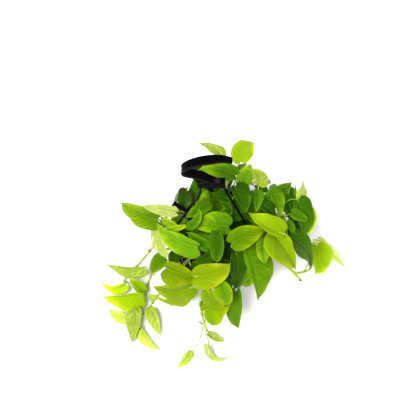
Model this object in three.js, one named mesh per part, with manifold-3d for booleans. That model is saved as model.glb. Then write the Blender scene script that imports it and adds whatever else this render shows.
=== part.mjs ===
// Potted neon pothos in a round hanging pot with a black three-arm hanger.
// Millimetres, +Z up. The origin is the centre of the pot's underside, on the
// surface that the pot stands on, and -Y is the front.
import * as THREE from 'three';
import { mergeVertices } from 'three/addons/utils/BufferGeometryUtils.js';
import Module from 'manifold-3d';

const wasm = await Module();
wasm.setup();

// Pot
const POT_BASE_R = 56;       // outside radius of the base
const POT_TOP_R = 77;        // outside radius just under the lip
const POT_LIP_R = 80.6;      // outside radius of the rolled lip
const POT_LIP_Z = 112;       // underside of the lip
const POT_HEIGHT = 122;      // top of the lip
const POT_WALL = 2.4;
const DRAIN_R = 4.5;         // drain holes in the base
const DRAIN_RING = 34;       // their pitch radius
const DRAIN_COUNT = 4;

// Soil
const SOIL_TOP = 104.4;        // top of the potting mix
const GAP = 0.35;            // clearance kept between touching pieces

// Hanger
const HOOK_DEPTH = 12;       // width of the hook's band, along Y
const HOOK_TIP_DEPTH = 7;    // the band narrows towards its tip
const HOOK_THICK = 4.6;      // thickness of the band
const HOOK_Y = 1.5;          // middle plane of the hook
const BLOCK = { x: [-33, 4], y: [-4.6, 7.8], z: [278.4, 287] };   // junction block under the hook
const ARM_W = 3.4;           // arm width and depth
const ARM_D = 3.0;
const CLIP = { inner: 76.8, outer: 84, half: 5, top: 125.2, low: 114, plate: 2.2 };

// Leaf blades
const BLADE_HALF = 0.4;      // half the thickness of a blade beside its midrib
const FOLD = 14;             // how far each half rises from the midrib, degrees
const CAMBER = 0.25;         // how far each half bends down again to its edge
const LOBE = 0.13;           // how far the lobes reach back past the stalk, of the blade length

// Half width along the midrib, from the stalk to the tip, of the widest half width.
const OUTLINE_AT = [0, 0.05, 0.12, 0.22, 0.34, 0.48, 0.62, 0.75, 0.86, 0.94, 1];
const OUTLINE = [0.5, 0.74, 0.92, 1, 0.985, 0.87, 0.68, 0.46, 0.245, 0.1, 0];

const HOOK_PATH = [[10.5, 340.8], [3.6, 344.2], [-4.3, 345.7], [-16.5, 343.7], [-28.8, 340], [-38.7, 334.3], [-46.4, 327.7], [-50.9, 320], [-49.4, 312.9], [-43.8, 309.5], [-36.9, 306.8], [-29.2, 302.5], [-21.5, 296.5], [-13.7, 289.8], [-6.4, 283.6]];

const ARM_PATHS = {
  arm_left: [[-29, 0.4, 276.2], [-29.4, 0.8, 263.5], [-31, 0.9, 251], [-34.3, 0.7, 238.7], [-38.2, 1.3, 226.7], [-42.7, 1.8, 214.8], [-47.5, 1.9, 203.1], [-51.3, 1.3, 191], [-55.6, 0.3, 179.1], [-61, -1, 167.7], [-66.2, -2.9, 156.3], [-71, -5.7, 144.9], [-75, -9.5, 133.5], [-78.3, -13.8, 122]],
  arm_right: [[0, 1.7, 277.4], [3.5, 1.1, 264], [7.6, 1.1, 250.9], [13.2, -2.4, 238.8], [19.7, -7.1, 227.4], [25.5, -10.8, 215.4], [31.8, -17.7, 205.4], [38.3, -24.9, 195.5], [44.8, -31.9, 185.5], [50.3, -38.2, 174.4], [53.7, -42.9, 161.9], [55.8, -46.6, 148.7], [57.4, -49.8, 135.3], [59.1, -53.2, 122]],
  arm_back: [[0.8, 6, 278], [2.7, 7.1, 260.7], [6.8, 10.6, 244.2], [11.1, 17.8, 228.9], [15.3, 25.9, 214], [19.7, 33.5, 198.8], [24.1, 40.4, 183.3], [27.1, 49.2, 168.5], [29.4, 58.4, 153.8], [31, 65.8, 138.1], [32.3, 72.6, 122]],
};
// A loose strap tail on the left arm, and a cut shoot on the right vine.
const ARM_TAILS = { arm_left: { width: 5.2, thick: 2.6, path: [[-50.5, 1.5, 193.9], [-59.5, 7.6, 194.9], [-69.5, 13.9, 195.9]] } };
const SHOOTS = { vine_right: { radius: 2.3, path: [[122.5, -19.5, 3.6], [132.3, -31.5, 2.8], [141.9, -43.7, 2.6]] } };

// Crown stems rise from the soil. Vines go over the lip, down the pot's side and
// along the surface. Each is a smooth curve through its points.
// Leaves: rib is the midrib as a cubic curve from stalk to tip, side points to the
// left edge, half is the left and right half width, stalk is the first three points
// of the cubic curve that carries the leaf and ends at the midrib's first point.
// full is the power that the outline is raised to on the left and right: below 1 a
// fuller shoulder, above 1 a leaner one.
const STEMS = {
  stem_back: { radius: 2.1, path: [[2, 30, 106.4], [4, 40, 128], [8, 58, 150], [14, 76, 160]] },
  stem_left: { radius: 2.1, path: [[-34, 6, 106.4], [-44, 6, 126], [-58, 2, 142], [-63.6, -0.6, 146.2]] },
  stem_front_left: { radius: 2.1, path: [[-28, -26, 106.4], [-38, -38, 124], [-50, -54, 134], [-60, -66, 136]] },
  stem_front: { radius: 2.1, path: [[0, -38, 106.4], [0, -52, 122], [0, -70, 130], [0, -86, 126]] },
  stem_center: { radius: 2.1, path: [[-6, 2, 106.4], [-10, 0, 130], [-14, -6, 152], [-16, -12, 168]] },
  stem_right: { radius: 2.1, path: [[40, 8, 106.4], [54, 10, 128], [72, 8, 146], [88, 4, 156]] },
  stem_front_right: { radius: 2.1, path: [[30, -22, 106.4], [40, -30, 126], [52, -38, 144], [62, -44, 154]] },
  vine_left_a: { radius: 1.7, path: [[-44, 20, 106.4], [-62, 22, 122], [-80, 22, 131], [-92, 19, 118], [-101, 17, 84], [-109, 15, 42], [-119.4, 13.9, 9], [-126.6, 5.6, 3.4], [-136.6, -7.3, 3.2], [-141.5, -13.8, 3.2], [-152.2, -25.8, 3.2], [-157.7, -35.9, 3.6], [-163.1, -42.1, 6], [-164.4, -47.6, 9]] },
  vine_left_b: { radius: 1.7, path: [[-46, -20, 106.4], [-66, -28, 122], [-84, -34, 130], [-95, -38, 117], [-104, -41, 80], [-110, -45, 40], [-113.5, -26.5, 8], [-119.5, -37.7, 3.4], [-122.8, -49.3, 3.2], [-125.4, -60, 3.2], [-124.6, -70.6, 3.2]] },
  vine_left_c: { radius: 1.7, path: [[-30, -42, 106.4], [-41, -56, 121], [-56, -76, 131], [-66, -86, 114], [-73, -92, 74], [-80, -95, 34], [-95.9, -62.6, 6], [-105.3, -70.6, 3.2], [-112.6, -79.4, 3.2], [-118.1, -89.8, 3.2], [-124.5, -98.4, 3.2], [-133.4, -106.1, 3.2], [-142.4, -110.4, 3.2], [-149.2, -109.2, 3.2]] },
  vine_front: { radius: 1.7, path: [[-12, -50, 106.4], [-15, -65, 121], [-18, -90, 129], [-22, -101, 112], [-24, -108, 74], [-25, -114, 34], [-28.3, -88.6, 5], [-30.3, -100.1, 3.2], [-28.2, -108.7, 3.2], [-24, -123.9, 3.2], [-20.1, -132.2, 3.2]] },
  vine_right: { radius: 1.7, path: [[48, -14, 106.4], [66, -16, 122], [84, -16, 131], [97, -14, 116], [104, -12, 78], [108, -12, 36], [113.7, -13.3, 7], [124.1, -22.1, 3.2], [132.5, -28.5, 3.2], [141.1, -28.9, 3.2], [152.6, -26.1, 3.2], [160, -21.3, 3.4]] },
};

const FREE_LEAVES = {
  leaf_top_1: { rib: [[1.7, 114, 165], [-7.6, 127.5, 163.5], [-23.2, 139.7, 155.1], [-35.3, 145, 148]], side: [-0.687, -0.584, 0.432], half: [15.2, 12.9], stalk: [[7.4, 55.7, 147.8], [-6.5, 70.1, 161.2], [11.3, 104.7, 165.2]], stalkR: 1.09, full: [0.7, 1.1], stem: 'stem_back' },
  leaf_top_2: { rib: [[30.2, 89, 186], [28.9, 112.3, 182.5], [40.3, 133.6, 169], [57.7, 141.5, 158]], side: [-0.905, 0.41, -0.118], half: [14.9, 20], stalk: [[14, 76, 160], [18.1, 74.6, 167.3], [27.7, 83, 179]], stalkR: 1.19, full: [0.68, 1], stem: 'stem_back' },
  leaf_top_3: { rib: [[18.9, 47.7, 219.9], [3.3, 55.8, 222.8], [-19, 60.7, 218.4], [-34.4, 60.1, 212.9]], side: [-0.244, -0.954, 0.172], half: [17.2, 15.9], stalk: [[11.7, 69.2, 156.8], [14.4, 74.6, 183.8], [28.3, 40.9, 195.2]], stalkR: 1.11, stem: 'stem_back' },
  leaf_top_4: { rib: [[28.3, 32.1, 212.7], [38.1, 48.3, 210.3], [45.3, 69.6, 198.9], [48, 83.4, 188.6]], side: [-0.712, 0.504, 0.489], half: [14.5, 10.5], stalk: [[-16, -12, 168], [1.4, 10.7, 180.1], [17.5, 14.2, 201.4]], stalkR: 1.16, lobe: 0.1, stem: 'stem_center' },
  leaf_top_5: { rib: [[55.7, 36.3, 209.4], [60, 48.6, 208.6], [55, 61.2, 204.8], [44.3, 66.7, 202.4]], side: [-0.921, -0.287, 0.263], half: [11, 12.7], stalk: [[62.9, 9.4, 137.7], [60.6, 15.4, 163.9], [50.9, 26.3, 197.6]], stalkR: 0.95, stem: 'stem_right' },
  leaf_left_1: { rib: [[-96, -0.4, 169.6], [-119.1, 5.1, 164.7], [-142.9, 23, 153.5], [-155.8, 39.2, 145.7]], side: [-0.118, -0.637, -0.762], half: [19.7, 17.3], stalk: [[-56.3, -61.7, 135.6], [-71.6, -74.1, 157.2], [-82.7, 6.6, 162.4]], stalkR: 1.25, full: [0.75, 0.9], stem: 'stem_front_left' },
  leaf_left_2: { rib: [[-67.4, 2.2, 188], [-84.5, 3.4, 190], [-105.7, 10.5, 185.5], [-119, 17, 180]], side: [-0.129, -0.779, -0.613], half: [8.4, 9.8], stalk: [[-50.9, 4.4, 134.7], [-51.1, 7.8, 154.5], [-48.2, 11.4, 182.8]], stalkR: 1.03, stem: 'stem_left' },
  leaf_left_3: { rib: [[-91.6, -8.4, 155.6], [-99.2, -25.9, 143.6], [-89, -42.5, 134.3], [-68.9, -50, 135.7]], side: [0.77, 0.121, 0.627], half: [13.1, 13.1], stalk: [[-50.9, 4.4, 134.7], [-70.5, 1.5, 127.8], [-76.6, 9.7, 154.5]], stalkR: 1.09, stem: 'stem_left' },
  leaf_left_4: { rib: [[-36.4, -54.6, 196], [-60.7, -47.5, 189.5], [-84.9, -25.9, 178.3], [-97.4, -6.4, 172]], side: [-0.117, -0.557, -0.822], half: [21.8, 13.4], stalk: [[-52.6, -57.3, 135.1], [-53.1, -65, 162.8], [-24.7, -59.2, 193.6]], stalkR: 1.3, full: [0.9, 1], stem: 'stem_front_left' },
  leaf_left_5: { rib: [[-85.2, -47, 128.5], [-95.9, -51.2, 124.6], [-104, -58.9, 114.4], [-105.7, -66.3, 106.2]], side: [0.662, -0.748, 0.041], half: [12.3, 13.1], stalk: [[-39.4, -39.8, 125.7], [-49.4, -39.5, 132.9], [-76, -43.7, 125.8]], stalkR: 0.97, full: [0.8, 1], stem: 'stem_front_left' },
  leaf_middle_1: { rib: [[-47.5, -25.9, 202.6], [-35.8, -22.6, 208.1], [-29.5, -11.3, 209.4], [-32.6, 0.8, 207.6]], side: [-0.863, 0.496, -0.094], half: [5.3, 9.1], stalk: [[-13.6, -5.2, 149.5], [-35, -6.6, 149.8], [-61.6, -34.7, 195.9]], stalkR: 0.95, stem: 'stem_center' },
  leaf_middle_2: { rib: [[-21.8, -0.7, 196], [-16.6, 12.3, 200.6], [-15.9, 29, 197.1], [-21.2, 39.6, 190]], side: [-0.934, -0.038, -0.354], half: [18.7, 1.9], stalk: [[-13.6, -5.2, 149.5], [-16.5, 8.3, 168.3], [-23.7, -9, 186]], stalkR: 1.0, stem: 'stem_center' },
  leaf_middle_3: { rib: [[9.7, -25.6, 198.3], [-7.6, -23.2, 201.6], [-30.4, -21, 196.3], [-45.1, -21, 189.2]], side: [-0.052, -0.981, -0.189], half: [13.3, 20.6], stalk: [[-15.3, -9.8, 162.3], [-12.3, -19.6, 173.6], [13.7, -37.4, 186.2]], stalkR: 1.12, stem: 'stem_center' },
  leaf_middle_4: { rib: [[-6, -44.9, 210], [-4.9, -57.5, 201.8], [-5, -67.4, 185.2], [-7.4, -70.8, 172]], side: [0.929, -0.321, 0.184], half: [11.5, 11.8], stalk: [[0, -80.1, 128], [-15.5, -96.9, 160.3], [2.1, -22.5, 208.4]], stalkR: 1.04, lobe: 0.16, stem: 'stem_front' },
  leaf_middle_5: { rib: [[15.4, -56.2, 214], [29.4, -46.7, 218.4], [49, -37.5, 213.6], [63, -35.1, 206]], side: [-0.338, 0.886, 0.319], half: [15.3, 17], stalk: [[54.6, -39.6, 147.1], [49.6, -41.7, 172.3], [3.2, -66.2, 193.7]], stalkR: 1.1, stem: 'stem_front_right' },
  leaf_middle_6: { rib: [[85, -39.4, 208], [68.3, -36.9, 216], [48.5, -24.8, 217.8], [38.4, -10.9, 216]], side: [-0.524, -0.852, -0.023], half: [8.6, 19.3], stalk: [[69.8, 8.4, 144.2], [69.3, -15.9, 157.7], [110.6, -42.7, 199.1]], stalkR: 1.11, stem: 'stem_right' },
  leaf_right_1: { rib: [[74.4, -39.1, 204], [87.7, -53.1, 199.9], [101, -70, 185], [107.6, -80.8, 172]], side: [0.75, 0.657, -0.076], half: [12.6, 31], stalk: [[58.3, -41.8, 150.6], [62.8, -38.2, 165.7], [62.7, -27.8, 193.1]], stalkR: 1.15, stem: 'stem_front_right' },
  leaf_right_2: { rib: [[60.5, -44, 198], [58.5, -56.9, 192.8], [59.9, -67.4, 179.4], [65, -70.9, 168]], side: [0.914, 0.36, -0.187], half: [15.1, 12.7], stalk: [[50.6, -37.1, 142.1], [53.7, -32.8, 156.7], [49.6, -19.2, 192.2]], stalkR: 1.03, stem: 'stem_front_right' },
  leaf_right_3: { rib: [[104.3, -30.2, 168.9], [124.7, -32.4, 154.4], [137.7, -45.1, 129.7], [139, -61.3, 113.1]], side: [0.408, 0.881, -0.237], half: [17.5, 24.7], stalk: [[88, 4, 156], [94.4, -6.3, 162.7], [95.6, -24.9, 170.5]], stalkR: 1.25, full: [1, 0.85], stem: 'stem_right' },
  leaf_right_4: { rib: [[114, 18.1, 190.8], [122.6, 3.8, 183.8], [125.6, -14.1, 168.5], [123.3, -26, 157.1]], side: [0.814, 0.451, -0.366], half: [20.4, 15.7], stalk: [[62, -44, 154], [69.8, -30.4, 184], [93.3, 36, 200.4]], stalkR: 1.12, full: [0.9, 1], stem: 'stem_front_right' },
  leaf_right_5: { rib: [[66.3, 21.1, 191], [86, 28.9, 183.1], [103.9, 49.1, 171.3], [112.4, 66.8, 164.8]], side: [-0.102, 0.57, 0.815], half: [18.5, 18.5], stalk: [[76.1, 7.1, 149.1], [75.5, 9.8, 169.5], [52.5, 19.6, 184.4]], stalkR: 1.22, stem: 'stem_right' },
  leaf_right_6: { rib: [[73.2, 26.3, 206], [79.7, 15.1, 204.5], [84.2, 0.3, 196.8], [85.3, -9.5, 190]], side: [0.81, 0.445, -0.383], half: [14.6, 6], stalk: [[82.1, 5.6, 152.6], [84.5, 7.2, 172.1], [69.6, 35.7, 199.2]], stalkR: 1.01, stem: 'stem_right' },
  leaf_right_7: { rib: [[19.2, 19.8, 234.6], [25, 8.2, 231.8], [31.8, -4.2, 221.7], [36.4, -11, 212.8]], side: [0.844, 0.53, -0.081], half: [18.1, 8.7], stalk: [[72, 8, 146], [72.8, 13.9, 179.8], [8.5, 44.3, 244.1]], stalkR: 1.01, stem: 'stem_right' },
  leaf_right_8: { rib: [[97.3, 26.4, 186.4], [102.9, 13.5, 184.2], [106.7, -2.2, 174.7], [108, -12, 166.3]], side: [0.826, 0.425, -0.37], half: [13.3, 15.2], stalk: [[88, 4, 156], [93.9, 10.6, 171.2], [91.3, 35.9, 177.4]], stalkR: 1.03, stem: 'stem_right' },
  leaf_front_1: { rib: [[-80, -72.7, 153.4], [-64.6, -78.4, 151.3], [-45.7, -81.5, 141], [-33.9, -82.2, 131.5]], side: [0.379, 0.81, 0.447], half: [14.4, 20.8], stalk: [[-44, -46, 130], [-53.2, -45.1, 141.1], [-89.7, -67.3, 143.4]], stalkR: 1.09, stem: 'stem_front_left' },
  leaf_front_2: { rib: [[-35.9, -94.6, 184.1], [-16.8, -95.3, 184.9], [4.1, -85.2, 180.2], [14.7, -71.6, 176.4]], side: [-0.343, 0.872, 0.348], half: [16.5, 19.9], stalk: [[0, -82, 127.3], [-0.2, -96, 146.4], [-49.4, -93.8, 174.1]], stalkR: 1.12, stem: 'stem_front' },
  leaf_front_3: { rib: [[-44, -91.6, 121.6], [-64.1, -97.8, 110.3], [-90, -91.3, 95.5], [-107.5, -80.1, 88.4]], side: [0.299, -0.566, -0.768], half: [17.3, 20], stalk: [[-48.6, -52.2, 133.2], [-44.4, -61.4, 135.7], [-37, -87.6, 124.8]], stalkR: 1.24, full: [1, 0.75], stem: 'stem_front_left' },
  leaf_front_4: { rib: [[-53.4, -92.5, 104], [-58.3, -105.2, 75.5], [-79.9, -101.3, 59.1], [-106, -87.2, 66]], side: [0.531, -0.329, -0.781], half: [12.9, 20.7], stalk: [[-60, -66, 136], [-62.1, -86.2, 139.2], [-44.4, -83.6, 120.6]], stalkR: 1.25, lobe: 0.04, full: [0.45, 0.95], stem: 'stem_front_left' },
  leaf_front_5: { rib: [[-18.9, -109.6, 159.5], [-15.6, -120.2, 146.3], [-3, -124.3, 130.8], [11.4, -122.4, 123.7]], side: [0.781, 0.259, 0.569], half: [10.9, 13.4], stalk: [[0, -86, 126], [-3.5, -96.8, 140.5], [-20.8, -97.8, 161.7]], stalkR: 1.08, stem: 'stem_front' },
  leaf_front_6: { rib: [[-24, -128.3, 126.8], [-9.9, -121.9, 128.3], [6.5, -116.7, 120], [16.4, -117.1, 109.6]], side: [-0.028, 0.866, 0.499], half: [10.7, 26.3], stalk: [[0, -74.1, 129.8], [-13.5, -81.9, 146.8], [-47.6, -121.7, 119.1]], stalkR: 1.04, stem: 'stem_front' },
  leaf_front_7: { rib: [[0.1, -102.4, 169.7], [6.9, -111.4, 162.7], [10.9, -119.4, 148.3], [10.2, -123.8, 136.9]], side: [0.957, 0.261, 0.123], half: [10.6, 16.2], stalk: [[0, -67.8, 129.6], [-4.2, -75.3, 143.3], [-3.5, -91.5, 169.4]], stalkR: 1.0, stem: 'stem_front' },
  leaf_front_8: { rib: [[23.1, -99.9, 124.6], [20.8, -119, 108.8], [24.2, -135.2, 80.4], [29.6, -142.6, 59.6]], side: [0.954, -0.198, 0.226], half: [10.6, 18.2], stalk: [[60.8, -43.3, 152.8], [71.6, -70.2, 160.7], [31.1, -84.9, 136.2]], stalkR: 1.29, full: [1.1, 1.15], stem: 'stem_front_right' },
  leaf_front_9: { rib: [[38.5, -54.8, 178.3], [49.8, -76.3, 166], [55.9, -99.6, 139.4], [55.7, -113.5, 118.8]], side: [0.844, 0.484, -0.231], half: [32.3, 9.9], stalk: [[62, -44, 154], [56.8, -48.5, 169.1], [34.4, -46.4, 176.4]], stalkR: 1.3, stem: 'stem_front_right' },
  leaf_rear_1: { rib: [[-12, 86, 142], [-16.6, 100.3, 127.7], [-20.4, 110.5, 102.5], [-22, 114, 84]], side: [-0.96, -0.279, 0.031], half: [19, 20], stalk: [[11.7, 69.2, 156.8], [7.2, 81.3, 155.7], [-10.2, 79.2, 143]], stalkR: 1.19, stem: 'stem_back' },
  leaf_rear_2: { rib: [[24, 92, 138], [28.8, 106, 124.3], [32.5, 116.3, 100], [34, 120, 82]], side: [-0.948, 0.318, -0.01], half: [19, 20], stalk: [[9.4, 62.5, 153.3], [14, 73.9, 152.7], [22.3, 77.8, 141.7]], stalkR: 1.18, stem: 'stem_back' },
  leaf_rear_3: { rib: [[84, 46, 148], [95.2, 57.8, 135.4], [103.2, 68.6, 111.8], [106, 74, 94]], side: [-0.647, 0.752, 0.126], half: [19, 18], stalk: [[69.8, 8.4, 144.2], [77.2, 25.4, 149.5], [80.3, 37.7, 148.1]], stalkR: 1.19, stem: 'stem_right' },
  leaf_rear_4: { rib: [[-63, 44, 145], [-72.6, 49.1, 129.3], [-77.1, 51.8, 104.5], [-77, 52, 87]], side: [-0.451, -0.893, -0.014], half: [14, 14], stalk: [[-56.3, 2.6, 140.4], [-64.9, 12.3, 144.3], [-53.6, 40.8, 147]], stalkR: 1.15, stem: 'stem_left' },
  leaf_rear_5: { rib: [[-86, -4, 138], [-97.7, -6.6, 121.3], [-103.6, -7.9, 94.8], [-104, -8, 76]], side: [0.22, -0.975, -0.001], half: [18, 17], stalk: [[-61.1, 0.6, 144.6], [-71.3, 1.1, 141.9], [-78.3, -2.3, 139.7]], stalkR: 1.19, stem: 'stem_left' },
  leaf_rear_6: { rib: [[90, 6, 142], [101, 2.9, 125.8], [106, 0.7, 100.1], [106, 0, 82]], side: [0.217, 0.975, -0.04], half: [17, 17], stalk: [[62.9, 9.4, 137.7], [73.4, 9.7, 136.5], [80.5, 8, 142.7]], stalkR: 1.17, stem: 'stem_right' },
  leaf_rear_7: { rib: [[60, 74, 150], [66, 87.9, 137.1], [69.4, 99.2, 113.5], [70, 104, 96]], side: [-0.876, 0.472, 0.1], half: [18, 18], stalk: [[14, 76, 160], [28.3, 74.2, 157.1], [50.4, 66.3, 146.6]], stalkR: 1.17, stem: 'stem_back' },
  leaf_middle_7: { rib: [[15.1, 4.2, 177.1], [28.9, 4.1, 183.7], [49, 3.2, 184.6], [62.7, 2.2, 182.4]], side: [0.047, 0.998, -0.05], half: [15.7, 14.8], stalk: [[-14.9, -8.2, 158.4], [-11.2, -6, 169.6], [2.7, 5.6, 169.1]], stalkR: 1.06, stem: 'stem_center' },
  leaf_middle_8: { rib: [[4.4, 17.1, 137.5], [-1.3, 28.2, 145.4], [-9.7, 45.5, 148.5], [-15.2, 57.7, 147.9]], side: [-0.893, -0.447, 0.062], half: [15.8, 15.7], stalk: [[-10.5, -0.6, 132.9], [-7.9, 3.3, 140.4], [4.1, 13.5, 134.3]], stalkR: 1.05, stem: 'stem_center' },
};

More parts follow.
